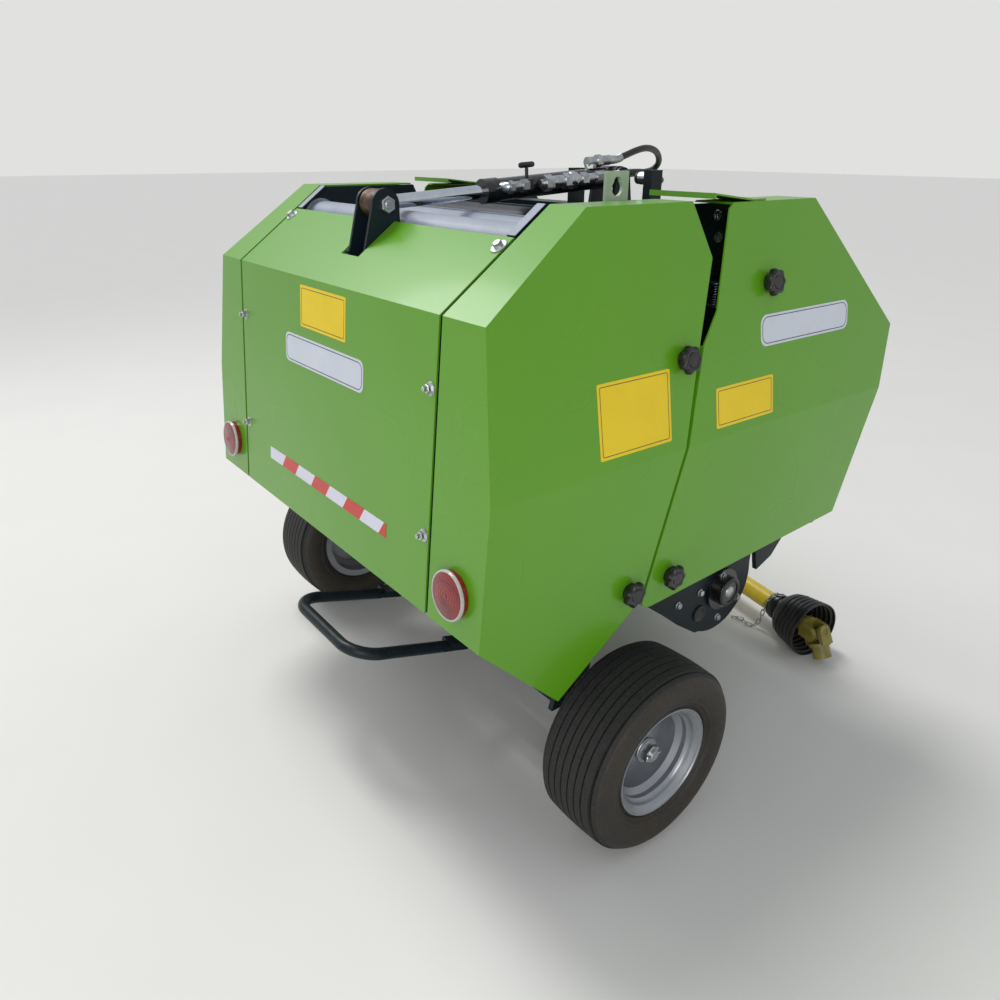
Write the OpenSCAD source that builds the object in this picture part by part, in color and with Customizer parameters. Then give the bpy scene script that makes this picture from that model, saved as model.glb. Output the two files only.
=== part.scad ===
// Compact round baler for a three-point hitch.
// +X is the machine's right, +Y forward, +Z up, ground at Z = 0.
// Side views are given as [y, z] points. There y counts from the rear panel's crease, and
// z from a level below the ground, by ground_z.

/* [Chamber and walls] */
// Height of the bale chamber's axis
chamber_z = 815; // [805:1:825]
// Distance of the bale chamber's axis in front of the rear crease
chamber_y = 400; // [396:1:404]
// Radius of the circle on which the chamber rollers sit
ring_r = 340; // [335:1:345]
// Radius of a chamber roller
roller_r = 45; // [38:1:47]
// Radius of a chamber roller's journals
journal_r = 15; // [10:1:20]
// Outer face of the frame's side walls, from the middle plane
wall_x = 358; // [356:1:359]
// Inner face of the tailgate's side walls, from the middle plane
tail_wall_x = 366; // [365:1:368]
// Thickness of the side walls
wall_t = 4; // [3:0.5:5]
// Width of the strip folded inwards along the top of each tailgate wall
strip_w = 20; // [12:1:26]
// Radius of the tailgate's hinge pins
hinge_pin_r = 15; // [10:1:18]
// Radius of the ears round the hinge pins
hinge_ear_r = 30; // [26:1:34]

/* [Covers] */
// Half of the width across the lower covers
cover_x = 519; // [500:1:530]
// Inward lean of the upper covers, in millimetres for each millimetre of height
cover_lean = 0.163; // [0.1:0.01:0.2]
// Height of the covers' fold, below which they stand upright
fold_z = 838; // [800:1:860]
// Thickness of the cover sheets and of the rear panel
sheet_t = 3; // [2:0.5:4]
// Width of the lips folded inwards along the covers' free edges
lip_w = 25; // [15:1:35]
// Radius of the studs that carry the covers
stud_r = 6; // [4:0.5:8]
// Gap between the rear panel and the rear covers
seam_gap = 8; // [5:0.5:9]
// Height of the covers' top
top_z = 1224; // [1215:1:1230]
// Radius of a star knob over its lobes
knob_r = 24; // [20:1:28]
// Height of a star knob
knob_h = 22; // [18:1:32]
// Radius of a rear lamp
lamp_r = 41; // [30:1:45]
// Depth of a rear lamp
lamp_h = 24; // [15:1:35]

/* [Wheels and chassis] */
// Height of the ground above the level that heights are counted from
ground_z = 104; // [95:1:110]
// Distance of the axle in front of the rear crease
axle_y = 290; // [285:1:300]
// Rolling radius of the tyres
tyre_r = 184; // [178:1:188]
// Width of a tyre
tyre_w = 152; // [145:1:158]
// Middle plane of a tyre, from the machine's middle plane
wheel_x = 557.5; // [550:0.5:565]
// Radius of a rim's flange
rim_r = 108; // [104:1:112]
// Width of a rim across its flanges
rim_w = 130; // [126:1:134]
// Radius of the stub axles
axle_r = 12.5; // [10:0.5:16]
// Radial running clearance of the shafts and pins that turn
fit_gap = 0.05; // [0.02:0.01:0.1]
// Side of the square axle beam
axle_beam = 50; // [40:1:60]

/* [Tube bar under the rear] */
// Half of the width between the tube bar's legs
bar_x = 137; // [120:1:150]
// Radius of the bar's tube
bar_r = 12.5; // [10:0.5:15]
// Radius of the tube bar's bends
bar_bend_r = 60; // [50:1:75]

/* [Cylinder] */
// Radius of the piston rod
rod_r = 12.5; // [10:0.5:14]
// Radius of the cylinder's barrel
barrel_r = 21; // [19:0.5:24]
// Radius of the bolt that holds the rod's eye
eye_pin_r = 7; // [5:0.5:8]
// Radius of the hole in the rod's eye
eye_bore_r = 15; // [14:0.5:16]
// Outer radius of the rod's eye
eye_r = 25; // [22:0.5:26]
// Width of the rod's eye
eye_w = 40; // [30:1:42]
// Radius of the barrel's pivot pin
barrel_pin_r = 10; // [8:0.5:12]
// Radius of the bolts that the hoses' ends turn on
banjo_r = 7; // [6:0.5:8]
// Radius of the hydraulic hoses
hose_r = 7; // [5:0.5:8]

/* [Pickup] */
// Distance of the pickup's shaft in front of the rear crease
pickup_y = 780; // [775:1:785]
// Height of the pickup's shaft
pickup_z = 354; // [350:1:358]
// Radius of the circle that the tine tips run on
tine_tip_r = 140; // [130:1:145]
// Radius of the circle that carries the tine bars
tine_bar_circle_r = 72; // [68:1:76]
// Radius of a tine bar
tine_bar_r = 10; // [8:0.5:11]
// Radius of a tine
tine_r = 2.75; // [2:0.25:3.5]
// Number of tines on each bar
tine_count = 12; // [8:1:12]
// Distance between neighbouring tines
tine_pitch = 54; // [50:1:56]
// Radius of the pickup's shaft
pickup_shaft_r = 17.5; // [15:0.5:20]
// Inner radius of the stripper bands
band_r = 96; // [94:1:100]
// Width of a stripper band
band_w = 34; // [25:1:38]

/* [Hitch] */
// Distance between the shoulders of the lower hitch pins, category 1
hitch_span = 683; // [675:1:690]
// Radius of the lower hitch pins
hitch_pin_r = 11; // [11:0.5:14.5]
// Free length of a lower hitch pin
hitch_pin_len = 70; // [45:1:90]
// Height of the lower hitch pins as parked
hitch_z = 480; // [470:1:490]
// Height of the top link's hole above the lower pins
mast_h = 460; // [450:1:470]
// Radius of the top link's hole
top_hole_r = 9.65; // [9.65:0.05:12.9]
// Distance of the hitch points in front of the rear crease
hitch_y = 1040; // [1030:1:1060]
// Radius of the drive input shaft
input_r = 17.45; // [15:0.05:20]
// Free length of the drive input shaft
input_len = 80; // [60:1:100]
// Side of the parking stand's square tube
stand_side = 40; // [30:1:50]

/* [Loose drive shaft] */
// Radius of the drive shaft's guard tube
guard_r = 25; // [22:1:28]
// Radius of the mouth of the corrugated bells
bell_r = 74; // [70:1:80]
// Length of the drive shaft from one bell's mouth to the other's
shaft_len = 682; // [620:1:700]
// Length of a corrugated bell
bell_len = 138; // [120:1:150]

/* [Hidden] */
$fn = 48;
small_fn = 24;

// Colours
cover_green = "#5f9b37";
frame_teal = "#14282b";
zinc = "#b9bcc0";
chrome_grey = "#c9ccd2";
rubber_black = "#1b1b1c";
rim_silver = "#b5b8bb";
lamp_red = "#b51f24";
strip_grey = "#8f9bae";
lug_grey = "#a7bca6";
guard_yellow = "#d8c11f";
yoke_olive = "#8a7d22";
eye_brown = "#5a4a41";

// Side views of the rear cover and the front cover
rear_crease = [0, 1083];
rear_foot = [-45, 605];
rear_tip = [121, 441];
seam_foot = [309, 571];
seam_fold = [392, fold_z];
seam_neck = [431, 993];
seam_knee = [470, 1137];
rear_top_front = [425, top_z];
rear_top = [195, top_z];
front_corner = [[317, 557], [324, 550], [337, 548]];
front_seam_foot = [316, 568];
front_seam_fold = [400, fold_z];
front_seam_neck = [444, 1000];
front_seam_knee = [480, 1051];
front_top_chamfer = [517, top_z - 14];
front_top_rear = [528, top_z - 5];
front_top = [765, top_z - 5];
front_nose = [1052, 964];
front_nose_fold = [1016, fold_z];
front_foot = [920, 573];

rear_outline = [rear_foot, rear_tip, seam_foot, seam_fold, seam_neck, seam_knee,
    rear_top_front, rear_top, rear_crease];
front_outline = [front_seam_foot, each front_corner, front_foot, front_nose_fold, front_nose, front_top,
    front_top_rear, front_top_chamfer, front_seam_knee, front_seam_neck, front_seam_fold];

// Places of the moving parts
axle_z = ground_z + tyre_r;
hinge = [486, 1168];
eye_pin = [120, 1208];
barrel_pin = [700, 1243];
stroke_line = barrel_pin - eye_pin;
cylinder_len = norm(stroke_line);
cylinder_tilt = atan2(stroke_line[1], stroke_line[0]);
barrel_len = 350;
rod_stroke = 82;
rod_inner_end = 140;
pickup_half = wall_x - wall_t;

// Angles of the rollers round the chamber, counted from straight ahead
roller_step = 25.2;
tail_roller_angles = [for (i = [0 : 5]) 104 + i * roller_step];
intake_place = 6;
front_roller_angles = [for (i = [1 : 8]) if (i != intake_place) 104 - i * roller_step];

function unit(v) = v / norm(v);
function left_normal(p, q) = [-(unit(q - p)[1]), unit(q - p)[0]];
// Corner q of the outline p, q, r moved by t to the left of both its edges
function inset(p, q, r, t) =
    let (a = left_normal(p, q), b = left_normal(q, r)) q + t * (a + b) / (1 + a * b);
function inner_outline(p, t) =
    let (n = len(p)) [for (i = [0 : n - 1]) inset(p[(i + n - 1) % n], p[i], p[(i + 1) % n], t)];
function cover_x_at(z) = z < fold_z ? cover_x : cover_x - (z - fold_z) * cover_lean;
function on_ring(angle) = [chamber_y + ring_r * cos(angle), chamber_z + ring_r * sin(angle)];
function rear_plane_y(z) =
    rear_foot[0] + (z - rear_foot[1]) * (rear_crease[0] - rear_foot[0]) / (rear_crease[1] - rear_foot[1]);
rear_tilt = atan2(rear_crease[0] - rear_foot[0], rear_crease[1] - rear_foot[1]);
slope_dir = unit(rear_top - rear_crease);

module placed() {
    translate([0, -origin_y, -ground_z]) children();
}

module both_sides() {
    children();
    mirror([1, 0, 0]) children();
}

// A [y, z] outline drawn out along X
module slab(points, x0, x1) {
    translate([x0, 0, 0]) rotate([90, 0, 90]) linear_extrude(x1 - x0) polygon(points);
}

// An [x, z] outline drawn out along Y
module bar_y(points, y0, y1) {
    translate([0, y1, 0]) rotate([90, 0, 0]) linear_extrude(y1 - y0) polygon(points);
}

// A round bar along X through a [y, z] point
module round_x(p, r, x0, x1) {
    translate([x0, p[0], p[1]]) rotate([0, 90, 0]) cylinder(h = x1 - x0, r = r);
}

module block(x0, x1, y0, y1, z0, z1) {
    translate([x0, y0, z0]) cube([x1 - x0, y1 - y0, z1 - z0]);
}

// A bar of section a by b between two points
module strut(p, q, a, b) {
    v = q - p;
    translate(p)
        rotate([0, acos(v[2] / norm(v)), atan2(v[1], v[0])])
        translate([-a / 2, -b / 2, 0]) cube([a, b, norm(v)]);
}

// Half section of a side cover, as an [x, z] outline
module cover_section(inner_x, outer_inset, y0, y1) {
    low_z = 300;
    high_z = 1400;
    bar_y([[inner_x, low_z], [cover_x - outer_inset, low_z], [cover_x - outer_inset, fold_z],
        [cover_x_at(high_z) - outer_inset, high_z], [inner_x, high_z]], y0, y1);
}

// A sheet cover: the outline's prism less a hollow that is open to the inside, where
// the free edges keep a lip folded inwards
module sheet_cover(outline, hollow, lipped, seam_x) {
    y0 = -100;
    y1 = 1200;
    difference() {
        intersection() {
            slab(outline, seam_x, cover_x + 10);
            cover_section(seam_x, 0, y0, y1);
        }
        intersection() {
            slab(hollow, seam_x - 1, cover_x + 10);
            cover_section(seam_x - 2, lip_w, y0, y1);
        }
        intersection() {
            slab(lipped, seam_x - 1, cover_x + 10);
            cover_section(seam_x - 2, sheet_t, y0, y1);
        }
    }
}

panel_half = tail_wall_x + wall_t;
cover_seam_x = panel_half + seam_gap;

module rear_cover() {
    past = 80;
    t = sheet_t;
    hollow = [
        [rear_plane_y(rear_foot[1] - past) + t, rear_foot[1] - past],
        [rear_tip[0] + past, rear_tip[1] - past],
        [seam_foot[0] + past, seam_foot[1] - past],
        [seam_knee[0] + past, seam_knee[1]],
        [rear_top_front[0] + past, top_z - t],
        inset(rear_top_front, rear_top, rear_crease, t),
        inset(rear_top, rear_crease, rear_foot, t)];
    sheet_cover(rear_outline, hollow, inner_outline(rear_outline, t), cover_seam_x);
}

// The front cover has no lip along its rear edge above the neck
module front_cover() {
    past = 60;
    t = sheet_t;
    inner = inner_outline(front_outline, t);
    neck_i = len(inner) - 2;
    lipped = [for (i = [0 : neck_i - 4]) inner[i], [front_top_rear[0] - past, front_top[1] - t],
        front_seam_neck + [-past, t], inner[neck_i], inner[neck_i + 1]];
    hollow = [
        [front_seam_foot[0] - past, front_seam_foot[1] - past],
        [front_foot[0] - t - past / 3, front_foot[1] - past],
        inset(front_foot, front_nose_fold, front_nose, t),
        inset(front_nose_fold, front_nose, front_top, t),
        inset(front_nose, front_top, front_top_rear, t),
        [front_top_chamfer[0] - past, front_top[1] - t]];
    sheet_cover(front_outline, hollow, lipped, cover_seam_x);
}

module rear_cover_right() {
    color(cover_green) placed() rear_cover();
}

module rear_cover_left() {
    color(cover_green) placed() mirror([1, 0, 0]) rear_cover();
}

module front_cover_right() {
    color(cover_green) placed() front_cover();
}

module front_cover_left() {
    color(cover_green) placed() mirror([1, 0, 0]) front_cover();
}

// The rear panel: one bent sheet with a slot for the rod bracket
panel_top = rear_crease + slope_dir * 165;
slot_half = 32;
slot_low_y = 58;

module rear_panel() {
    t = sheet_t;
    lip = 22;
    skin = [
        rear_foot, [rear_foot[0] + t, rear_foot[1]], inset(rear_top, rear_crease, rear_foot, t),
        panel_top + t * [slope_dir[1], -slope_dir[0]], panel_top, rear_crease];
    color(cover_green) placed() difference() {
        union() {
            slab(skin, -panel_half, panel_half);
            block(-tail_wall_x, tail_wall_x, rear_foot[0] + t, rear_foot[0] + lip, rear_foot[1],
                rear_foot[1] + t);
        }
        block(-slot_half, slot_half, slot_low_y, 200, 1050, 1300);
    }
}

// A stud that carries a cover behind one of its knobs
module cover_stud(p, from_x) {
    lean = p[1] < fold_z ? 0 : cover_lean;
    round_x(p, stud_r, from_x, cover_x_at(p[1]) - sheet_t - stud_r * lean - 0.3);
}

// Side wall of the tailgate with its ear at the hinge and its folded strip
module tail_wall() {
    e = sheet_t;
    ear_top = 120;
    body = [
        inset(rear_crease, rear_foot, rear_tip, e),
        inset(rear_foot, rear_tip, seam_foot, e),
        inset(rear_tip, seam_foot, seam_fold, e),
        inset(seam_foot, seam_fold, seam_neck, e),
        inset(seam_fold, seam_neck, seam_knee, e),
        seam_knee - [e, 0],
        rear_top_front - [0, e],
        inset(rear_top_front, rear_top, rear_crease, e),
        inset(rear_top, rear_crease, rear_foot, e)];
    strip_start = rear_crease + slope_dir * 168;
    n = [slope_dir[1], -slope_dir[0]];
    strip = [strip_start, rear_top, rear_top + n * sheet_t, strip_start + n * sheet_t];
    difference() {
        union() {
            slab(body, tail_wall_x, panel_half);
            round_x(hinge, hinge_ear_r, tail_wall_x, panel_half);
            slab([seam_knee - [60, 80], hinge - [0, hinge_ear_r],
                hinge + hinge_ear_r * [cos(ear_top), sin(ear_top)], rear_top_front - [20, 60]],
                tail_wall_x, panel_half);
            slab(strip, panel_half - strip_w, panel_half);
            for (p = rear_knob_places) cover_stud(p, tail_wall_x + 1);
        }
        round_x(hinge, hinge_pin_r + fit_gap, tail_wall_x - 5, panel_half + 5);
    }
}

module tail_wall_right() {
    color(frame_teal) placed() tail_wall();
}

module tail_wall_left() {
    color(frame_teal) placed() mirror([1, 0, 0]) tail_wall();
}

// A ribbed roller between two walls
module roller(p, half_len, journal_end) {
    rib_h = 2;
    round_x(p, roller_r - rib_h, -half_len, half_len);
    for (i = [0 : 7])
        translate([0, p[0], p[1]]) rotate([45 * i, 0, 0])
            block(-half_len + 4, half_len - 4, -4, 4, roller_r - rib_h - 3, roller_r);
    round_x(p, journal_r, -journal_end, journal_end);
}

module tail_rollers() {
    color(strip_grey) placed()
        for (a = tail_roller_angles) roller(on_ring(a), tail_wall_x - 16, tail_wall_x);
}

module front_rollers() {
    color(strip_grey) placed()
        for (a = front_roller_angles) roller(on_ring(a), wall_x - wall_t - 4, wall_x - wall_t);
}

// Cross tube of the tailgate, under the opening, with an end flange against each wall
crossbar = rear_top + [-10, -64];
crossbar_r = 34;
flange_rim = 5;
flange_t = 8;

module tail_crossbar() {
    color(strip_grey) placed() union() {
        round_x(crossbar, crossbar_r, -tail_wall_x, tail_wall_x);
        both_sides() round_x(crossbar, crossbar_r + flange_rim, tail_wall_x - flange_t, tail_wall_x);
    }
}

// Bracket that holds the rod's eye: two cheeks joined by a foot on a square tube
cheek_t = 6;
cheek_x = 24;
cheek_r = 27;
bolt_head_r = 14;
bolt_head_h = 9;
bracket_y = 52;
bracket_z = 1052;
bracket_tube = 40;
tube_wall = 3;

module rod_bracket() {
    top = bracket_z + bracket_tube;
    seat = top - 10;
    front = eye_pin[0] + cheek_r;
    cheek = [[bracket_y + 10, seat], [bracket_y + 60, seat], [front, eye_pin[1] - 36], [front, eye_pin[1]],
        [eye_pin[0] - cheek_r, eye_pin[1]], [bracket_y + 21, eye_pin[1] - 74]];
    color(frame_teal) placed() difference() {
        union() {
            both_sides() {
                slab(cheek, cheek_x, cheek_x + cheek_t);
                round_x(eye_pin, cheek_r, cheek_x, cheek_x + cheek_t);
                translate([cheek_x + cheek_t, eye_pin[0], eye_pin[1]]) rotate([0, 90, 0])
                    cylinder(h = bolt_head_h, r = bolt_head_r, $fn = 6);
            }
            slab([[bracket_y + 50, seat], [bracket_y + 60, seat], [front, eye_pin[1] - 48],
                [front - 8, eye_pin[1] - 44]], -cheek_x - 1, cheek_x + 1);
            block(-tail_wall_x, tail_wall_x, bracket_y, bracket_y + bracket_tube, bracket_z, top);
            round_x(eye_pin, eye_pin_r, -cheek_x - cheek_t - 12, cheek_x + cheek_t + 10);
        }
        block(-tail_wall_x - 1, tail_wall_x + 1, bracket_y + tube_wall, bracket_y + bracket_tube - tube_wall,
            bracket_z + tube_wall, top - tube_wall);
    }
}

// A star knob standing on a cover at [y, z]
knob_neck_h = 7;
knob_lobe_r = 7;
knob_lobes = 7;
knob_seat = 0.2;

module knob(p) {
    lean = p[1] < fold_z ? 0 : atan(cover_lean);
    translate([cover_x_at(p[1]), p[0], p[1]]) rotate([0, 90 - lean, 0]) translate([0, 0, knob_seat]) {
        cylinder(h = knob_neck_h + 1, r = knob_r * 0.6);
        translate([0, 0, knob_neck_h]) linear_extrude(knob_h - knob_neck_h) {
            circle(r = knob_r - 4);
            for (i = [0 : knob_lobes - 1])
                rotate(360 / knob_lobes * i) translate([knob_r - knob_lobe_r, 0])
                    circle(r = knob_lobe_r, $fn = small_fn);
        }
    }
}

rear_knob_places = [[391, 985], [276, 601]];
front_knob_places = [[622, 1085], [380, 599]];

module rear_knobs() {
    color(rubber_black) placed() both_sides() for (p = rear_knob_places) knob(p);
}

module front_knobs() {
    color(rubber_black) placed() both_sides() for (p = front_knob_places) knob(p);
}

lamp_x = 447;
lamp_z = 676;
lamp_seat = 0.2;

module lamps() {
    color(lamp_red) placed() both_sides()
        translate([lamp_x, rear_plane_y(lamp_z), lamp_z]) rotate([90 - rear_tilt, 0, 0])
        translate([0, 0, lamp_seat]) {
            cylinder(h = lamp_h * 0.5, r = lamp_r);
            cylinder(h = lamp_h, r = lamp_r - 4);
        }
}

// Lifting lug on top of the right tailgate wall, with a keyhole for a hook
lug_y = 347;
lug_w = 50;
lug_h = 43;
lug_t = 6;
lug_seat = 0.3;

module lifting_lug() {
    a = lug_y - lug_w / 2;
    b = lug_y + lug_w / 2;
    outer = tail_wall_x - lug_seat;
    color(lug_grey) placed() difference() {
        slab([[a, top_z - 60], [b, top_z - 60], [b, top_z + lug_h], [a, top_z + lug_h]],
            outer - lug_t, outer);
        round_x([lug_y, top_z + lug_h - 16], 8, outer - lug_t - 1, outer + 1);
        round_x([lug_y, top_z + lug_h - 25], 12, outer - lug_t - 1, outer + 1);
    }
}

// Side wall of the frame, with the lobe that carries the pickup
lobe = [pickup_y - 11, pickup_z + 9];
lobe_r = 117;
plug = [708, 311];
plug_r = 18;

module side_wall() {
    e = 8;
    body = [
        [308, 500], [330, 430], [400, 430], [450, 461], [503, 417], [562, 368], [633, 308], [700, 261],
        lobe - [0, lobe_r - 4], lobe + [lobe_r - 2, 0], lobe + [lobe_r - 2, 60],
        inset(front_seam_foot, front_foot, front_nose_fold, e),
        inset(front_foot, front_nose_fold, front_nose, e), inset(front_nose_fold, front_nose, front_top, e),
        inset(front_nose, front_top, front_top_rear, e), front_top_rear + [4, -e],
        hinge + [0, hinge_ear_r], hinge - [0, hinge_ear_r], front_seam_knee + [-10, 10],
        front_seam_neck + [e, 0], front_seam_fold + [e, 0], front_seam_foot + [e, 0]];
    difference() {
        union() {
            slab(body, wall_x - wall_t, wall_x);
            round_x(hinge, hinge_ear_r, wall_x - wall_t, wall_x);
            round_x(lobe, lobe_r, wall_x - wall_t, wall_x);
            round_x(hinge, hinge_pin_r, wall_x - 1, panel_half + 10);
            round_x(hinge, hinge_pin_r + 7, wall_x - 1, tail_wall_x - 0.5);
            round_x(hinge, hinge_pin_r + 7, panel_half + 0.5, panel_half + 8);
            for (p = front_knob_places) cover_stud(p, wall_x - 1);
        }
        round_x([pickup_y, pickup_z], pickup_shaft_r + 8, wall_x - 10, wall_x + 10);
        round_x(plug, plug_r, wall_x - 10, wall_x + 10);
    }
}

module side_wall_right() {
    color(frame_teal) placed() side_wall();
}

module side_wall_left() {
    color(frame_teal) placed() mirror([1, 0, 0]) side_wall();
}

// Flanged bearings of the pickup's shaft
module pickup_bearings() {
    p = [pickup_y, pickup_z];
    color(rubber_black) placed() both_sides() difference() {
        union() {
            round_x(p, 52, wall_x, wall_x + 8);
            round_x(p, 36, wall_x + 8, wall_x + 26);
        }
        round_x(p, pickup_shaft_r + fit_gap, wall_x - 5, wall_x + 20);
    }
}

// Beams and the closed front of the chamber
front_beam_y = 785;
front_beam_z = 610;
beam_side = 70;

module front_beam() {
    color(frame_teal) placed() union() {
        difference() {
            block(-pickup_half, pickup_half, front_beam_y, front_beam_y + beam_side,
                front_beam_z, front_beam_z + beam_side);
            translate([0, front_beam_y, front_beam_z])
                block(-pickup_half - 1, pickup_half + 1, beam_wall, beam_side - beam_wall,
                    beam_wall, beam_side - beam_wall);
        }
        block(-90, 90, front_beam_y + beam_side, front_beam_y + beam_side + 8, 540, 710);
    }
}

wall_top = [842, 1135];
wall_bend = [985, 985];

module front_wall() {
    t = sheet_t;
    a = wall_top;
    b = wall_bend;
    c = [950, fold_z];
    d = [885.4, 694];
    color(frame_teal) placed()
        slab([a, b, c, d, d + [-t, 1], inset(b, c, d, -t), inset(a, b, c, -t), a - [t, t]],
            -pickup_half, pickup_half);
}

// Cross beam under the cylinder's foot, with the two lugs for its pin
top_beam_z = 1125;
top_beam_side = 60;
beam_wall = 4;
pin_lug_x = 30;
pin_lug_t = 8;
pin_lug_r = 20;

module top_beam() {
    half = top_beam_side / 2;
    foot = top_beam_z + top_beam_side - 5 - barrel_pin[1];
    color(frame_teal) placed() difference() {
        union() {
            block(-pickup_half, pickup_half, barrel_pin[0] - half, barrel_pin[0] + half,
                top_beam_z, top_beam_z + top_beam_side);
            both_sides() {
                slab([barrel_pin + [-half, foot], barrel_pin + [half, foot], barrel_pin + [pin_lug_r, 0],
                    barrel_pin - [pin_lug_r, 0]], pin_lug_x, pin_lug_x + pin_lug_t);
                round_x(barrel_pin, pin_lug_r, pin_lug_x, pin_lug_x + pin_lug_t);
            }
            round_x(barrel_pin, barrel_pin_r, -pin_lug_x - pin_lug_t - 2, pin_lug_x + pin_lug_t + 2);
        }
        translate([0, barrel_pin[0], 0])
            block(-pickup_half - 1, pickup_half + 1, beam_wall - half, half - beam_wall,
                top_beam_z + beam_wall, top_beam_z + top_beam_side - beam_wall);
    }
}

// Bent plates over the gap between the front and rear covers
plate_x = [310, 452];
plate_rise = 12;
plate_lip = 9;
plate_seat = 0.3;

module gap_plates() {
    t = sheet_t;
    front = front_top_rear + [94, plate_seat];
    bend = front_top_rear + [60, plate_seat];
    rear = front_top_rear + [-44, plate_seat + plate_rise];
    color(cover_green) placed() both_sides()
        slab([front, front + [0, t], bend + [0, t], rear + [0, t], rear + [0, t - plate_lip],
            rear + [t, t - plate_lip], rear + [t, 0], bend], plate_x[0], plate_x[1]);
}

// Hydraulic blocks on the top beam, with the bolts that the hoses' ends turn on
block_x = [85, 98];

module hose_blocks() {
    foot_z = top_beam_z + top_beam_side;
    color(frame_teal) placed() for (s = [-1, 1]) {
        x = block_x[s < 0 ? 0 : 1];
        translate([s < 0 ? -x : x, 0, 0]) mirror([s < 0 ? 1 : 0, 0, 0]) {
            block(12, 34, barrel_pin[0] - 16, barrel_pin[0] + 16, foot_z, barrel_pin[1] + 16);
            round_x(barrel_pin, banjo_r, -11, 13);
            round_x(barrel_pin, banjo_r + 5, -18, -10);
        }
    }
}

// Axle beam with stub axles, uprights and the arms to the tube bar
upright_t = 12;
upright_lap = 22;
cross_y = [590, 630];
cross_z = [345, 375];
hub_stop = 40.5;

module chassis() {
    half = axle_beam / 2;
    foot = front_seam_foot;
    upright = [[axle_y - 45, axle_z - half], [axle_y + 45, axle_z - half], foot + [57, -68],
        foot + [57, upright_lap], foot + [17, upright_lap], foot + [-8, -68]];
    side = wall_x + upright_t;
    strut_x = 220;
    color(frame_teal) placed() union() {
        block(-side, side, axle_y - half, axle_y + half, axle_z - half, axle_z + half);
        both_sides() {
            slab(upright, wall_x, side);
            round_x([axle_y, axle_z], axle_r, side - 2, wheel_x + 8);
            round_x([axle_y, axle_z], axle_r + 8, side - 2, wheel_x - hub_stop);
            strut([bar_x, axle_y, axle_z + 10], [bar_x, 228, 333], 30, 30);
            bar_place() block(bar_x - 20, bar_x + 20, -22, 66, 5, 13);
            strut([strut_x, axle_y, axle_z], [strut_x, cross_y[0] + 22, cross_z[0] + 13], 40, 40);
        }
        block(-pickup_half, pickup_half, cross_y[0], cross_y[1], cross_z[0], cross_z[1]);
    }
}

// Bent tube bar behind the axle, bolted to the chassis arms
bar_front = [171, 327];
bar_back = [-63, 397];
bar_run = norm(bar_front - bar_back);
bar_tilt = atan2(bar_back[1] - bar_front[1], bar_front[0] - bar_back[0]);

module bar_place() {
    translate([0, bar_front[0], bar_front[1]]) rotate([-bar_tilt, 0, 0]) children();
}

module tube_bar() {
    leg = bar_run - bar_bend_r;
    plate_end = 26;
    color(frame_teal) placed() bar_place() union() {
        both_sides() {
            translate([bar_x, -plate_end + 2, 0]) rotate([90, 0, 0])
                cylinder(h = leg - plate_end + 2, r = bar_r);
            translate([bar_x - bar_bend_r, -leg, 0]) rotate([0, 0, -90])
                rotate_extrude(angle = 90) translate([bar_bend_r, 0]) circle(r = bar_r);
            block(bar_x - 15, bar_x + 15, -plate_end - 10, plate_end, -5, 5);
        }
        translate([-bar_x + bar_bend_r, -bar_run, 0]) rotate([0, 90, 0])
            cylinder(h = 2 * (bar_x - bar_bend_r), r = bar_r);
    }
}

// Three-point headstock: arms, cross tube, lower pins, A-frame and top link clevis
module headstock() {
    arm_x = hitch_span / 2;
    arm_t = 12;
    pin = [hitch_y, hitch_z];
    arm = [[front_beam_y + 5, front_beam_z], [front_beam_y + beam_side - 5, front_beam_z], pin + [-90, 40],
        pin + [38, 40], pin + [38, -35], pin + [-40, -118], pin + [-95, -140], pin + [-120, -50],
        [front_beam_y + 77, hitch_z + 20]];
    mast_z = hitch_z + mast_h;
    link = [hitch_y + 40, mast_z];
    color(frame_teal) placed() difference() {
        union() {
            both_sides() {
                slab(arm, arm_x - arm_t, arm_x);
                round_x(pin, hitch_pin_r, arm_x - 1, arm_x + hitch_pin_len);
                round_x(pin, hitch_pin_r + 6, arm_x - 1, arm_x + 4);
                strut([290, hitch_y, hitch_z + 10], [36, hitch_y, mast_z], 50, 30);
                slab([[hitch_y - 20, mast_z - 60], [hitch_y + 20, mast_z - 60],
                    [hitch_y + 60, mast_z], [hitch_y - 20, mast_z + 20]], 27, 39);
                round_x(link, 22, 27, 39);
                block(182, 210, front_beam_y + beam_side, hitch_y, front_beam_z + 40, front_beam_z + 68);
            }
            block(-arm_x + 1, arm_x - 1, hitch_y - 25, hitch_y + 25, hitch_z - 25, hitch_z + 25);
            block(-28, 28, hitch_y - 20, hitch_y, mast_z - 60, mast_z + 10);
            stand_sleeve();
        }
        round_x(link, top_hole_r, -60, 60);
        translate([stand_x, stand_y, 0]) block(-stand_hole, stand_hole, -stand_hole, stand_hole, 200, 700);
    }
}

// Parking stand in its sleeve on the headstock
stand_x = -120;
stand_hole = stand_side / 2 + 0.3;
stand_y = hitch_y + 25 + stand_side / 2 + 5;

module stand_sleeve() {
    s = stand_side / 2 + 6;
    translate([stand_x, stand_y, 0]) block(-s, s, -s, s, hitch_z - 60, hitch_z + 25);
}

// Half of the foot's length and depth
foot_half = [60, 29];

module parking_stand() {
    s = stand_side / 2;
    color(frame_teal) placed() translate([stand_x, stand_y, 0]) union() {
        block(-s, s, -s, s, ground_z + 8, hitch_z + 60);
        block(-foot_half[0], foot_half[0], -foot_half[1], foot_half[1], ground_z, ground_z + 10);
    }
}

// Closed box for the twine, on the slope of the front wall
box_half = 230;
box_seat = 0.3;

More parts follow.
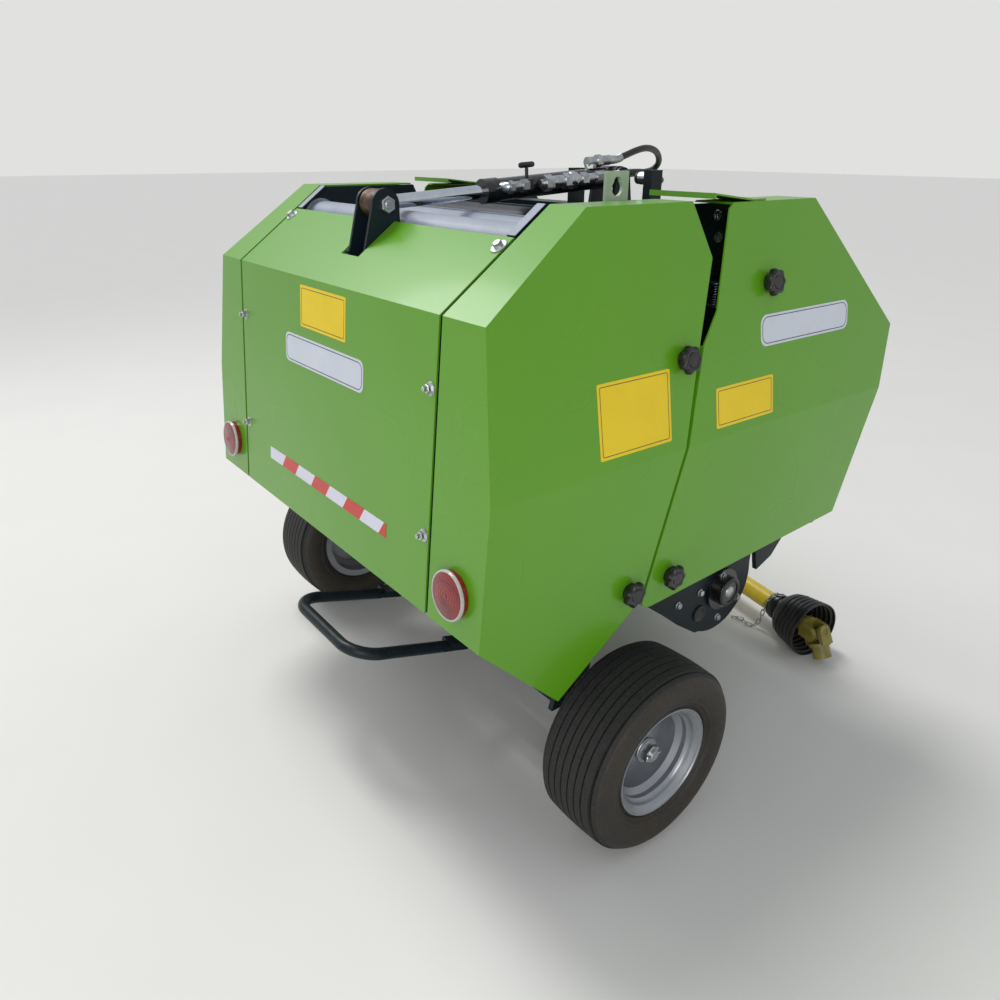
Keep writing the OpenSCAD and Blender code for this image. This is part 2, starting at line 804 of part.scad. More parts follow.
module twine_box() {
    down = unit(wall_bend - wall_top);
    high = wall_top + down * 33 + box_seat * [-down[1], down[0]];
    low = wall_top + down * 185 + box_seat * [-down[1], down[0]];
    color(cover_green) placed()
        slab([high, low, low + [66, 4], low + [66, 52], high + [42, 17]], -box_half, box_half);
}

// Gearbox on the front beam, and its input shaft
gear_y = front_beam_y + beam_side + 8;
gear_z = 625;

module gearbox() {
    color("#3a4044") placed() difference() {
        union() {
            block(-62, 62, gear_y, gear_y + 100, gear_z - 62, gear_z + 62);
            translate([0, gear_y + 96, gear_z]) rotate([-90, 0, 0]) cylinder(h = 24, r = 48);
            round_x([gear_y + 50, gear_z], 46, -80, 80);
            round_x([gear_y + 50, gear_z], 17, -pickup_half, -78);
        }
        translate([0, gear_y + 60, gear_z]) rotate([-90, 0, 0]) cylinder(h = 70, r = input_r + fit_gap);
    }
}

module input_shaft() {
    color(zinc) placed() translate([0, gear_y + 62, gear_z]) rotate([-90, 0, 0]) difference() {
        cylinder(h = 58 + input_len, r = input_r);
        for (i = [0 : 5])
            rotate([0, 0, 60 * i]) translate([input_r - 2.5, -3, 64]) cube([6, 6, input_len]);
    }
}

// Pickup reel: shaft, end discs, four tine bars and their tines
module pickup_reel() {
    half = pickup_half - 10;
    color(frame_teal) placed() translate([0, pickup_y, pickup_z]) union() {
        round_x([0, 0], pickup_shaft_r, -wall_x - 18, wall_x + 18);
        for (x = [-half + 6, -half / 3, half / 3, half - 6])
            round_x([0, 0], tine_bar_circle_r + tine_bar_r + 2, x - 3, x + 3);
        for (i = [0 : 3])
            rotate([90 * i, 0, 0]) translate([0, 0, tine_bar_circle_r]) {
                round_x([0, 0], tine_bar_r, -half, half);
                for (k = [0 : tine_count - 1])
                    translate([(k - (tine_count - 1) / 2) * tine_pitch, 0, 0])
                        cylinder(h = tine_tip_r - tine_bar_circle_r, r = tine_r, $fn = 16);
            }
    }
}

// Bands that strip the crop off the tines: round the front, then straight back to two
// cross bars beyond the reach of the tines
band_t = 2.5;
band_angles = [-120, 80];
band_runs = [120, 250];

module band() {
    sweep = band_angles[1] - band_angles[0];
    rotate([band_angles[0], 0, 0]) {
        rotate([90, 0, 90]) rotate_extrude(angle = sweep) translate([band_r, 0]) square([band_t, band_w]);
        block(0, band_w, band_r, band_r + band_t, -band_runs[0], 0);
    }
    rotate([band_angles[1], 0, 0]) block(0, band_w, band_r, band_r + band_t, 0, band_runs[1]);
}

module pickup_bands() {
    color(cover_green) placed() translate([0, pickup_y, pickup_z]) union() {
        for (k = [0 : tine_count])
            translate([(k - tine_count / 2) * tine_pitch - band_w / 2, 0, 0]) band();
        rotate([band_angles[0], 0, 0])
            block(-pickup_half, pickup_half, band_r - 6, band_r + 8, -band_runs[0] - 1, -band_runs[0] + 11);
        rotate([band_angles[1], 0, 0])
            block(-pickup_half, pickup_half, band_r - 14, band_r, band_runs[1] - 12, band_runs[1]);
    }
}

// Wheel parts, in the wheel's own frame with +X outwards
rim_half = rim_w / 2;
bead_drop = 13;

module wheel_place(side) {
    translate([side * wheel_x, axle_y, axle_z]) rotate([0, 0, side > 0 ? 0 : 180]) children();
}

module revolved(points) {
    rotate([0, 90, 0]) rotate([0, 0, 90]) rotate_extrude($fn = 72) polygon(points);
}

module tyre() {
    w = tyre_w / 2;
    seat = rim_half - 4;
    gap = 0.3;
    bead = rim_r - bead_drop + gap;
    revolved([
        [rim_r, -seat + gap], [bead + 6, -seat + 2.5 + gap], [bead, -seat + 10 + gap], [bead - 1.6, -31],
        [bead - 1.6, 31], [bead, seat - 10 - gap], [bead + 6, seat - 2.5 - gap], [rim_r, seat - gap],
        [rim_r + 4, seat - gap], [rim_r + 13, w - 6], [tyre_r * 0.76, w], [tyre_r * 0.86, w - 1],
        [tyre_r * 0.94, w - 5], [tyre_r - 3, w - 10], [tyre_r, w - 17],
        [tyre_r, -w + 17], [tyre_r - 3, -w + 10], [tyre_r * 0.94, -w + 5], [tyre_r * 0.86, -w + 1],
        [tyre_r * 0.76, -w], [rim_r + 13, -w + 6], [rim_r + 4, -seat + gap]]);
}

module rim() {
    f = rim_half;
    s = rim_half - 4;
    b = rim_r - bead_drop;
    dish_x = -15;
    revolved([
        [rim_r, -f], [rim_r, -s], [b + 6, 2.5 - s], [b, 10 - s], [b - 2, -31], [b - 16, -22], [b - 16, 22],
        [b - 2, 31],
        [b, s - 10], [b + 6, s - 2.5], [rim_r, s], [rim_r, f], [rim_r - 2.5, f], [rim_r - 4, f - 2],
        [b + 5, s], [b - 1, s - 6], [b - 3, s - 12], [b - 5, 46], [b - 8, 43], [b - 8, 34],
        [b - 18, 25], [b - 18, dish_x + 4], [55, dish_x + 4], [48, dish_x + 11], [31, dish_x + 11],
        [31, 11], [20, 13], [18.5, 20], [24, 21], [24, 25], [15, 25], [15, 39], [10, 39], [9.5, 44],
        [0, 44], [0, 9],
        [axle_r + fit_gap, 9], [axle_r + fit_gap, -40], [30, -40], [30, dish_x + 7],
        [46, dish_x + 7], [53, dish_x], [b - 18, dish_x], [b - 18, -24], [b - 5, -33],
        [b - 3, -f + 1.5], [rim_r - 4, -f]]);
}

module tyre_right() {
    color(rubber_black) placed() wheel_place(1) tyre();
}

module tyre_left() {
    color(rubber_black) placed() wheel_place(-1) tyre();
}

module rim_right() {
    color(rim_silver) placed() wheel_place(1) rim();
}

module rim_left() {
    color(rim_silver) placed() wheel_place(-1) rim();
}

// Cylinder parts, in a frame along the cylinder with its foot at the origin and +Y to the foot
module cylinder_place() {
    translate([0, barrel_pin[0], barrel_pin[1]]) rotate([cylinder_tilt, 0, 0]) children();
}

module along_y(r, y0, y1) {
    translate([0, y0, 0]) rotate([-90, 0, 0]) cylinder(h = y1 - y0, r = r);
}

// The barrel carries a small valve with a T handle
valve_y = -256;

module barrel() {
    color("#15171a") placed() cylinder_place() difference() {
        union() {
            along_y(barrel_r, -barrel_len, -24);
            along_y(barrel_r + 2, -barrel_len, -barrel_len + 34);
            round_x([0, 0], 22, -pin_lug_x + 2, pin_lug_x - 2);
            along_y(18, -40, -10);
            block(14, 32, valve_y - 11, valve_y + 11, -4, 16);
            translate([24, valve_y, 0]) cylinder(h = 42, r = 3.5);
            translate([24, 0, 42]) along_y(4.5, valve_y - 16, valve_y + 16);
        }
        round_x([0, 0], barrel_pin_r + fit_gap, -pin_lug_x, pin_lug_x);
        along_y(rod_r + fit_gap, -barrel_len - 5, -rod_inner_end + rod_stroke + 6);
    }
}

// Fittings on the barrel: a line along its right side, an elbow on top, and the rings
// that join the hoses to the hydraulic blocks
side_line = [39, 6];
top_line_h = 13;

module barrel_fittings() {
    color(zinc) placed() cylinder_place() union() {
        round_x([-barrel_len + 44, side_line[1]], 8, barrel_r + fit_gap, side_line[0]);
        round_x([-190, side_line[1]], 7, barrel_r + fit_gap, side_line[0]);
        translate([side_line[0], 0, side_line[1]]) {
            along_y(9, -barrel_len + 35, -barrel_len + 82);
            along_y(8, -236, -224);
            along_y(12, -226, -158);
            along_y(15, -162, -140);
            along_y(10, -141, -110);
            along_y(9, -112, -60);
        }
        translate([0, -62, barrel_r + fit_gap]) cylinder(h = top_line_h, r = 9);
        translate([0, 0, barrel_r + top_line_h]) along_y(10, -72, -6);
        for (x = [-block_x[0], block_x[1]]) difference() {
            union() {
                round_x([0, 0], banjo_r + 6, x - 9, x + 9);
                translate([x, 0, 0]) along_y(hose_r + 1, banjo_r + 4, banjo_r + 12);
            }
            round_x([0, 0], banjo_r + fit_gap, x - 20, x + 20);
        }
    }
}

module rod() {
    color(chrome_grey) placed() cylinder_place()
        along_y(rod_r, -cylinder_len + eye_r - 2, -rod_inner_end);
}

module rod_eye() {
    color(eye_brown) placed() cylinder_place() difference() {
        round_x([-cylinder_len, 0], eye_r, -eye_w / 2, eye_w / 2);
        round_x([-cylinder_len, 0], eye_bore_r, -eye_w, eye_w);
        along_y(rod_r, -cylinder_len + eye_r - 2, -rod_inner_end);
    }
}

// A hose swept along a list of points with ten sides
function frame_at(path, i) =
    let (n = len(path), a = path[max(i - 1, 0)], b = path[min(i + 1, n - 1)]) unit(b - a);
function side_of(d) = unit(cross(d, abs(d[0]) > 0.9 ? [0, 0, 1] : [1, 0, 0]));

module hose(path, r) {
    sides = 10;
    n = len(path);
    points = [for (i = [0 : n - 1])
        let (d = frame_at(path, i), u = side_of(d), v = cross(d, u))
        for (k = [0 : sides - 1]) path[i] + r * (u * cos(k * 360 / sides) + v * sin(k * 360 / sides))];
    walls = [for (i = [0 : n - 2]) for (k = [0 : sides - 1])
        let (a = i * sides + k, b = i * sides + (k + 1) % sides)
        each [[a, b, b + sides], [a, b + sides, a + sides]]];
    caps = [[for (k = [sides - 1 : -1 : 0]) k], [for (k = [0 : sides - 1]) (n - 1) * sides + k]];
    polyhedron(points, concat(walls, caps));
}

// Routes of the hoses in the cylinder's own frame
hose_upper_path = [[0, -6, barrel_r + top_line_h], [0, 15, barrel_r + top_line_h], [-1, 45, 40],
    [-4, 80, 47], [-10, 115, 50], [-20, 150, 46], [-32, 180, 36], [-46, 203, 20], [-60, 212, 6],
    [-72, 206, -3], [-81, 188, -7], [-86, 160, -8], [-87, 125, -7], [-86, 90, -4],
    [-block_x[0], 50, 0], [-block_x[0], 19, 0]];
hose_lower_path = [[39, -60, 6], [39, -52, 6], [43, -41, 7], [49, -29, 8], [52, -12, 9], [52, 10, 9],
    [53, 28, 8], [56, 44, 6], [61, 57, 2], [69, 65, -3], [79, 66, -7], [88, 61, -9], [94, 51, -8],
    [97, 40, -4], [block_x[1], 29, 0], [block_x[1], 19, 0]];

module hose_upper() {
    color(rubber_black) placed() cylinder_place() hose(hose_upper_path, hose_r);
}

module hose_lower() {
    color(rubber_black) placed() cylinder_place() hose(hose_lower_path, hose_r);
}

// The loose drive shaft, in its own frame from the right bell's mouth to the left one's
shaft_mouth = [460, 1058];
shaft_turn = 168;
shaft_bar_r = guard_r - 7.5;

// The model's reach behind and before the crease puts the origin in the middle
rear_reach = bar_r - bar_back[0];
front_reach = shaft_mouth[1] + shaft_len * sin(shaft_turn) + bell_r * abs(cos(shaft_turn));
origin_y = (front_reach - rear_reach) / 2;

module shaft_place() {
    translate([shaft_mouth[0], shaft_mouth[1], ground_z + bell_r]) rotate([0, 0, shaft_turn]) children();
}

module along_x(r0, r1, x0, x1) {
    translate([x0, 0, 0]) rotate([0, 90, 0]) cylinder(h = x1 - x0, r1 = r0, r2 = r1);
}

// A corrugated bell with its mouth at x = 0
module bell() {
    wall = 3;
    neck_r = guard_r + 8;
    folds = 5;
    fold_len = bell_len / 10;
    fold_h = 5;
    ribs = [for (i = [0 : folds - 1])
        let (r0 = bell_r - 2 * i, x = i * fold_len)
        each [[r0, x], [r0, x + fold_len * 0.55], [r0 - fold_h, x + fold_len * 0.7],
            [r0 - fold_h, x + fold_len * 0.85]]];
    shoulder = [[bell_r - 10, bell_len * 0.5], [bell_r - 14, bell_len * 0.6], [bell_r - 24, bell_len * 0.69],
        [bell_r - 36, bell_len * 0.75]];
    outer = concat(ribs, shoulder);
    tail = [[neck_r, bell_len - 34], [neck_r, bell_len]];
    inner = [for (p = [each outer, tail[0]]) [p[0] - wall, p[1]]];
    rotate([0, 90, 0]) rotate([0, 0, 90]) rotate_extrude()
        polygon(concat(outer, tail, [[guard_r + 0.3, bell_len], [guard_r + 0.3, bell_len - 34]],
            [for (i = [len(inner) - 1 : -1 : 0]) inner[i]]));
}

module shaft_bells() {
    color(rubber_black) placed() shaft_place() {
        bell();
        translate([shaft_len, 0, 0]) rotate([0, 0, 180]) bell();
    }
}

module shaft_tube() {
    color(guard_yellow) placed() shaft_place() difference() {
        along_x(guard_r, guard_r, bell_len - 34, shaft_len - bell_len + 34);
        along_x(guard_r - 7, guard_r - 7, bell_len - 40, shaft_len - bell_len + 40);
    }
}

// A yoke with its hub along +X and its cross at the origin
module yoke() {
    difference() {
        union() {
            along_x(22, 22, 31, 66);
            along_x(27.5, 27.5, 26, 35);
            for (s = [-1, 1]) translate([0, s * 24, 0]) {
                block(0, 31, -5.5, 5.5, -16.5, 16.5);
                translate([0, -5.5, 0]) rotate([-90, 0, 0]) cylinder(h = 11, r = 16.5);
            }
        }
        along_x(input_r, input_r, 40, 75);
        translate([0, -40, 0]) rotate([-90, 0, 0]) cylinder(h = 80, r = cross_r);
    }
}

cross_r = 7.5;
cross_half = 27.5;

module yoke_pair(droop) {
    yoke();
    rotate([0, 180 - droop, 0]) rotate([90, 0, 0]) yoke();
    translate([0, -cross_half, 0]) rotate([-90, 0, 0]) cylinder(h = 2 * cross_half, r = cross_r);
    rotate([0, 180 - droop, 0]) rotate([90, 0, 0]) translate([0, -cross_half, 0]) rotate([-90, 0, 0])
        cylinder(h = 2 * cross_half, r = cross_r);
}

module shaft_yokes() {
    color(yoke_olive) placed() shaft_place() {
        translate([-9, 0, 0]) yoke_pair(60);
        translate([shaft_len + 9, 0, 0]) rotate([0, 0, 180]) yoke_pair(60);
        along_x(shaft_bar_r, shaft_bar_r, 46, shaft_len - 46);
    }
}

rear_panel();
rear_cover_right();
rear_cover_left();
tail_wall_right();
tail_wall_left();
tail_rollers();
tail_crossbar();
rod_bracket();
rear_knobs();
lamps();
lifting_lug();
front_cover_right();
front_cover_left();
front_knobs();
side_wall_right();
side_wall_left();
front_rollers();
front_beam();
front_wall();
top_beam();
hose_blocks();
gap_plates();
twine_box();
chassis();
tube_bar();
headstock();
parking_stand();
gearbox();
input_shaft();
pickup_reel();
pickup_bands();
pickup_bearings();
tyre_right();
tyre_left();
rim_right();
rim_left();
barrel();
barrel_fittings();
rod();
rod_eye();
hose_upper();
hose_lower();
shaft_tube();
shaft_bells();
shaft_yokes();
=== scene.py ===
import math
import bpy
from mathutils import Matrix, Vector


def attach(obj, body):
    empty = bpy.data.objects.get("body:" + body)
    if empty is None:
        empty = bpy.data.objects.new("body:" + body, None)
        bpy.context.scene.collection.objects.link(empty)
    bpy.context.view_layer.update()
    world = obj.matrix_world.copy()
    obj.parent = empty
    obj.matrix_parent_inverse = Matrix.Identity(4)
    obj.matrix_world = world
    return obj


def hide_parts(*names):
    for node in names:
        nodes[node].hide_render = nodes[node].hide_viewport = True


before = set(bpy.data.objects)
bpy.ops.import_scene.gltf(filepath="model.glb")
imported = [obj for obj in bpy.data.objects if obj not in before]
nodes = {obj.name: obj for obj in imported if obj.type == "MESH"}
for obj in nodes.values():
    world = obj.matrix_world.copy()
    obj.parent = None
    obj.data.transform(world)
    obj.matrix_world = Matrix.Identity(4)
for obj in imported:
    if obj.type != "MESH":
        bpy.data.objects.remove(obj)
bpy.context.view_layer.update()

creaseBack = 598.33935  # mm from the rear panel's crease forward to the model's origin
groundHeight = 104  # mm from the level that heights are counted from, up to the ground
print("frame loaded:", len(nodes), "parts")


# Points and colours

def at(x, y, z):  # mm, y counted from the crease and z from the low level, to the frame's metres
    return Vector((x, y - creaseBack, z - groundHeight)) / 1000


def toLinear(hexText):
    values = [int(hexText[i:i + 2], 16) / 255 for i in (1, 3, 5)]
    return [v / 12.92 if v <= 0.04045 else ((v + 0.055) / 1.055) ** 2.4 for v in values] + [1.0]


def perMm(size):  # texture scale that makes one feature that many mm wide
    return 1000 / size


# Materials

def addNode(tree, kind, settings=None, inputs=None, output=0):  # adds a node and hands back one output
    made = tree.nodes.new(kind)
    for key, value in (settings or {}).items():
        setattr(made, key, value)
    for key, value in (inputs or {}).items():
        if isinstance(value, bpy.types.NodeSocket):
            tree.links.new(value, made.inputs[key])
        else:
            made.inputs[key].default_value = value
    return made.outputs[output] if len(made.outputs) else made


def newMaterial(name):
    material = bpy.data.materials.new(name)
    material.use_nodes = True
    tree = material.node_tree
    tree.nodes.clear()
    return material, tree, addNode(tree, "ShaderNodeTexCoord", None, None, "Object")


dry = {"hex": "#a79c86", "onPaint": 7, "inPores": 5}  # field dust, with the width of its specks in mm


def paintedMetal(name, look):  # paint with a slow change of shade, dust where it faces up, and a wavy coat
    material, tree, coords = newMaterial(name)
    patch = addNode(tree, "ShaderNodeTexNoise", None, {
        "Vector": coords, "Scale": perMm(look["patch"]), "Detail": 3.0})
    share = addNode(tree, "ShaderNodeMapRange", None, {"Value": patch, "From Min": 0.3, "From Max": 0.7})
    paint = addNode(tree, "ShaderNodeMix", {"data_type": "RGBA"}, {
        0: share, 6: toLinear(look["hex"]), 7: toLinear(look["shade"])}, 2)
    grit = addNode(tree, "ShaderNodeTexNoise", None, {
        "Vector": coords, "Scale": perMm(dry["onPaint"]), "Detail": 6.0, "Roughness": 0.7})
    lying = addNode(tree, "ShaderNodeMapRange", None, {
        "Value": grit, "From Min": 0.4, "From Max": 0.75, "To Min": 0.0, "To Max": look["dust"]})
    normal = addNode(tree, "ShaderNodeNewGeometry", None, None, "Normal")
    lift = addNode(tree, "ShaderNodeSeparateXYZ", None, {0: normal}, "Z")
    dust = addNode(tree, "ShaderNodeMath", {"operation": "MULTIPLY", "use_clamp": True}, {0: lying, 1: lift})
    colour = addNode(tree, "ShaderNodeMix", {"data_type": "RGBA"}, {
        0: dust, 6: paint, 7: toLinear(dry["hex"])}, 2)
    rough = addNode(tree, "ShaderNodeMapRange", None, {
        "Value": patch, "From Min": 0.3, "From Max": 0.7,
        "To Min": look["rough"] - 0.03, "To Max": look["rough"] + 0.04})
    wave = addNode(tree, "ShaderNodeTexNoise", None, {
        "Vector": coords, "Scale": perMm(look["wave"]), "Detail": 2.0})
    relief = addNode(tree, "ShaderNodeBump", None, {"Height": wave, "Distance": look["waveDepth"] / 1000})
    surface = addNode(tree, "ShaderNodeBsdfPrincipled", None, {
        "Base Color": colour, "Roughness": rough, "Normal": relief, "Metallic": look.get("metallic", 0.0),
        "Coat Weight": look["coat"], "Coat Roughness": 0.08, "Specular IOR Level": look.get("gloss", 0.5)})
    addNode(tree, "ShaderNodeOutputMaterial", None, {"Surface": surface})
    return material


# Gloss enamel sprayed on sheet steel: an even leaf green with a wet gleam
coverEnamel = paintedMetal("coverEnamel", {
    "hex": "#5c9b14", "shade": "#589613", "patch": 500, "dust": 0.03, "rough": 0.28, "coat": 0.2,
    "wave": 400, "waveDepth": 0.05})

# Satin machine enamel on welded plate and tube: near black with a blue green cast
framePaint = paintedMetal("framePaint", {
    "hex": "#122127", "shade": "#0f1c21", "patch": 150, "dust": 0.08, "rough": 0.4, "coat": 0.05,
    "wave": 5, "waveDepth": 0.06, "gloss": 0.25})

# Rolled tube and folded edges in dark frame paint, drawn a matt pale lilac grey: a painted reflection of the
# sky on that paint
paintedSkyGlare = paintedMetal("paintedSkyGlare", {
    "hex": "#8d96a6", "shade": "#7c8696", "patch": 90, "dust": 0.3, "rough": 0.45, "coat": 0.1,
    "wave": 5, "waveDepth": 0.1})

# Flame cut lifting lug, part of the dark side plate, drawn pale grey green and flat: a painted sheen of light
# on that plate
paintedLugSheen = paintedMetal("paintedLugSheen", {
    "hex": "#a7b39c", "shade": "#93a890", "patch": 30, "dust": 0.1, "rough": 0.5, "coat": 0.0,
    "wave": 3, "waveDepth": 0.1})

# Aluminium lacquer on pressed steel: silver, softly shining
rimLacquer = paintedMetal("rimLacquer", {
    "hex": "#a3a6ab", "shade": "#989ba0", "patch": 40, "dust": 0.1, "rough": 0.35, "coat": 0.2,
    "wave": 4, "waveDepth": 0.05, "metallic": 0.7})

# Black gloss enamel on the cylinder's tube: deep black with a sharp line of light
blackEnamel = paintedMetal("blackEnamel", {
    "hex": "#15171a", "shade": "#101215", "patch": 80, "dust": 0.15, "rough": 0.26, "coat": 0.4,
    "wave": 4, "waveDepth": 0.05})

# Brushed enamel on forged yokes: dull olive yellow
yokeEnamel = paintedMetal("yokeEnamel", {
    "hex": "#8a7f33", "shade": "#6c6327", "patch": 25, "dust": 0.3, "rough": 0.45, "coat": 0.1,
    "wave": 2, "waveDepth": 0.15})

# Thin paint on sand cast iron: dark grey with a grainy skin
castIron = paintedMetal("castIron", {
    "hex": "#33393d", "shade": "#272c2f", "patch": 30, "dust": 0.25, "rough": 0.55, "coat": 0.0,
    "wave": 2.5, "waveDepth": 0.4})


def bareMetal(name, look):  # metal with cloudy patches in colour and shine, and a fine grain
    material, tree, coords = newMaterial(name)
    patch = addNode(tree, "ShaderNodeTexNoise", None, {
        "Vector": coords, "Scale": perMm(look["patch"]), "Detail": 5.0, "Roughness": 0.6})
    share = addNode(tree, "ShaderNodeMapRange", None, {"Value": patch, "From Min": 0.35, "From Max": 0.65})
    colour = addNode(tree, "ShaderNodeMix", {"data_type": "RGBA"}, {
        0: share, 6: toLinear(look["hex"]), 7: toLinear(look["shade"])}, 2)
    rough = addNode(tree, "ShaderNodeMapRange", None, {
        "Value": patch, "From Min": 0.3, "From Max": 0.7,
        "To Min": look["rough"] - look["vary"], "To Max": look["rough"] + look["vary"]})
    grain = addNode(tree, "ShaderNodeTexNoise", None, {
        "Vector": coords, "Scale": perMm(look["grain"]), "Detail": 3.0})
    relief = addNode(tree, "ShaderNodeBump", None, {"Height": grain, "Distance": look["grainDepth"] / 1000})
    surface = addNode(tree, "ShaderNodeBsdfPrincipled", None, {
        "Base Color": colour, "Roughness": rough, "Normal": relief, "Metallic": 1.0})
    addNode(tree, "ShaderNodeOutputMaterial", None, {"Surface": surface})
    return material


# Zinc plate, dipped and passivated: bright grey with cloudy patches
zincSteel = bareMetal("zincSteel", {
    "hex": "#cfd2d4", "shade": "#aeb1b2", "patch": 12, "rough": 0.3, "vary": 0.08,
    "grain": 1.5, "grainDepth": 0.02})

# Zinc chain tumbled and dulled by the road: flat light grey
chainZinc = bareMetal("chainZinc", {
    "hex": "#c3c5c6", "shade": "#8e9091", "patch": 6, "rough": 0.38, "vary": 0.08,
    "grain": 1.5, "grainDepth": 0.05})

# Hard chrome on a ground rod: a clean mirror
chromeRod = bareMetal("chromeRod", {
    "hex": "#dfe3e8", "shade": "#cfd5dc", "patch": 40, "rough": 0.1, "vary": 0.03,
    "grain": 2, "grainDepth": 0.005})

# Forged steel left bare: browned by handling and light rust
brownSteel = bareMetal("brownSteel", {
    "hex": "#6c5a4c", "shade": "#4b3a30", "patch": 8, "rough": 0.5, "vary": 0.1,
    "grain": 1.5, "grainDepth": 0.1})

# Turned steel wiped with oil: middle grey with a soft shine
oiledSteel = bareMetal("oiledSteel", {
    "hex": "#9a9893", "shade": "#76716a", "patch": 15, "rough": 0.35, "vary": 0.1,
    "grain": 2, "grainDepth": 0.03})


def polymer(name, look):  # rubber and plastic: two close shades, dust in the pores and a fine grain
    material, tree, coords = newMaterial(name)
    patch = addNode(tree, "ShaderNodeTexNoise", None, {
        "Vector": coords, "Scale": perMm(look["patch"]), "Detail": 5.0, "Roughness": 0.6})
    share = addNode(tree, "ShaderNodeMapRange", None, {"Value": patch, "From Min": 0.35, "From Max": 0.7})
    base = addNode(tree, "ShaderNodeMix", {"data_type": "RGBA"}, {
        0: share, 6: toLinear(look["hex"]), 7: toLinear(look["shade"])}, 2)
    grit = addNode(tree, "ShaderNodeTexNoise", None, {
        "Vector": coords, "Scale": perMm(dry["inPores"]), "Detail": 6.0, "Roughness": 0.7})
    dust = addNode(tree, "ShaderNodeMapRange", None, {
        "Value": grit, "From Min": 0.4, "From Max": 0.75, "To Min": 0.0, "To Max": look["dust"]})
    colour = addNode(tree, "ShaderNodeMix", {"data_type": "RGBA"}, {
        0: dust, 6: base, 7: toLinear(dry["hex"])}, 2)
    rough = addNode(tree, "ShaderNodeMapRange", None, {
        "Value": patch, "From Min": 0.3, "From Max": 0.7,
        "To Min": look["rough"] - 0.05, "To Max": look["rough"] + 0.05})
    grain = addNode(tree, "ShaderNodeTexNoise", None, {
        "Vector": coords, "Scale": perMm(look["grain"]), "Detail": 3.0})
    relief = addNode(tree, "ShaderNodeBump", None, {"Height": grain, "Distance": look["grainDepth"] / 1000})
    surface = addNode(tree, "ShaderNodeBsdfPrincipled", None, {
        "Base Color": colour, "Roughness": rough, "Normal": relief, "IOR": look["ior"]})
    addNode(tree, "ShaderNodeOutputMaterial", None, {"Surface": surface})
    return material


# Vulcanised tread compound: matt black with grey dust in the pores
tyreRubber = polymer("tyreRubber", {
    "hex": "#141516", "shade": "#1b1c1d", "patch": 30, "dust": 0.06, "rough": 0.7, "ior": 1.5,
    "grain": 2.5, "grainDepth": 0.25})

# Sidewall compound with wax bloomed out: faintly brown and smoother
sidewallRubber = polymer("sidewallRubber", {
    "hex": "#201d1b", "shade": "#30291f", "patch": 60, "dust": 0.06, "rough": 0.6, "ior": 1.5,
    "grain": 4, "grainDepth": 0.1})

# Nitrile hose cover cured in cloth wrap: dark grey with a fine print
hoseRubber = polymer("hoseRubber", {
    "hex": "#0e0f11", "shade": "#151618", "patch": 20, "dust": 0.05, "rough": 0.42, "ior": 1.52,
    "grain": 1.6, "grainDepth": 0.1})

# Phenolic resin pressed in a mould: black with a slight sheen
knobPhenolic = polymer("knobPhenolic", {
    "hex": "#0b0c0e", "shade": "#111214", "patch": 20, "dust": 0.02, "rough": 0.34, "ior": 1.6,
    "grain": 2, "grainDepth": 0.04})

# Polyethylene blown in a mould: waxy black
bellPolyethylene = polymer("bellPolyethylene", {
    "hex": "#0c0d10", "shade": "#141517", "patch": 40, "dust": 0.05, "rough": 0.45, "ior": 1.51,
    "grain": 3, "grainDepth": 0.08})

# Polyethylene tube drawn through a die: waxy golden yellow
tubePolyethylene = polymer("tubePolyethylene", {
    "hex": "#dcc02a", "shade": "#ccb024", "patch": 60, "dust": 0.12, "rough": 0.4, "ior": 1.51,
    "grain": 4, "grainDepth": 0.05})

# Cut vinyl film with a clear laminate: flat strong yellow, left blank
yellowVinyl = polymer("yellowVinyl", {
    "hex": "#eacb12", "shade": "#e4c511", "patch": 80, "dust": 0.01, "rough": 0.5, "ior": 1.52,
    "grain": 10, "grainDepth": 0.03})

# Cut vinyl film with a clear laminate: flat greyed white, left blank
whiteVinyl = polymer("whiteVinyl", {
    "hex": "#cfd5df", "shade": "#c9cfd9", "patch": 80, "dust": 0.02, "rough": 0.5, "ior": 1.52,
    "grain": 10, "grainDepth": 0.03})

# Printed line on vinyl film: flat soft black
blackVinyl = polymer("blackVinyl", {
    "hex": "#2c2f33", "shade": "#33363a", "patch": 60, "dust": 0.02, "rough": 0.42, "ior": 1.52,
    "grain": 10, "grainDepth": 0.03})


film = {"cell": 4, "seamWidth": 0.09, "seamDepth": 0.05}  # sizes in mm, the width as a share of a cell


def reflexFilm(name, hexText, seamText):  # sealed honeycomb cells with a fine seam between them
    material, tree, coords = newMaterial(name)
    reach = addNode(tree, "ShaderNodeTexVoronoi", {"feature": "DISTANCE_TO_EDGE"}, {
        "Vector": coords, "Scale": perMm(film["cell"])})
    seam = addNode(tree, "ShaderNodeMapRange", None, {
        "Value": reach, "From Min": 0.0, "From Max": film["seamWidth"], "To Min": 1.0, "To Max": 0.0})
    colour = addNode(tree, "ShaderNodeMix", {"data_type": "RGBA"}, {
        0: seam, 6: toLinear(hexText), 7: toLinear(seamText)}, 2)
    relief = addNode(tree, "ShaderNodeBump", None, {"Height": seam, "Distance": film["seamDepth"] / 1000})
    surface = addNode(tree, "ShaderNodeBsdfPrincipled", None, {
        "Base Color": colour, "Roughness": 0.25, "Normal": relief, "IOR": 1.52})
    addNode(tree, "ShaderNodeOutputMaterial", None, {"Surface": surface})
    return material


# Reflective film on adhesive: clear red with a fine net of seams
redReflex = reflexFilm("redReflex", "#c92a22", "#b7241e")

# Reflective film on adhesive: cool white with a fine net of seams
whiteReflex = reflexFilm("whiteReflex", "#d9d9e8", "#cecfdf")


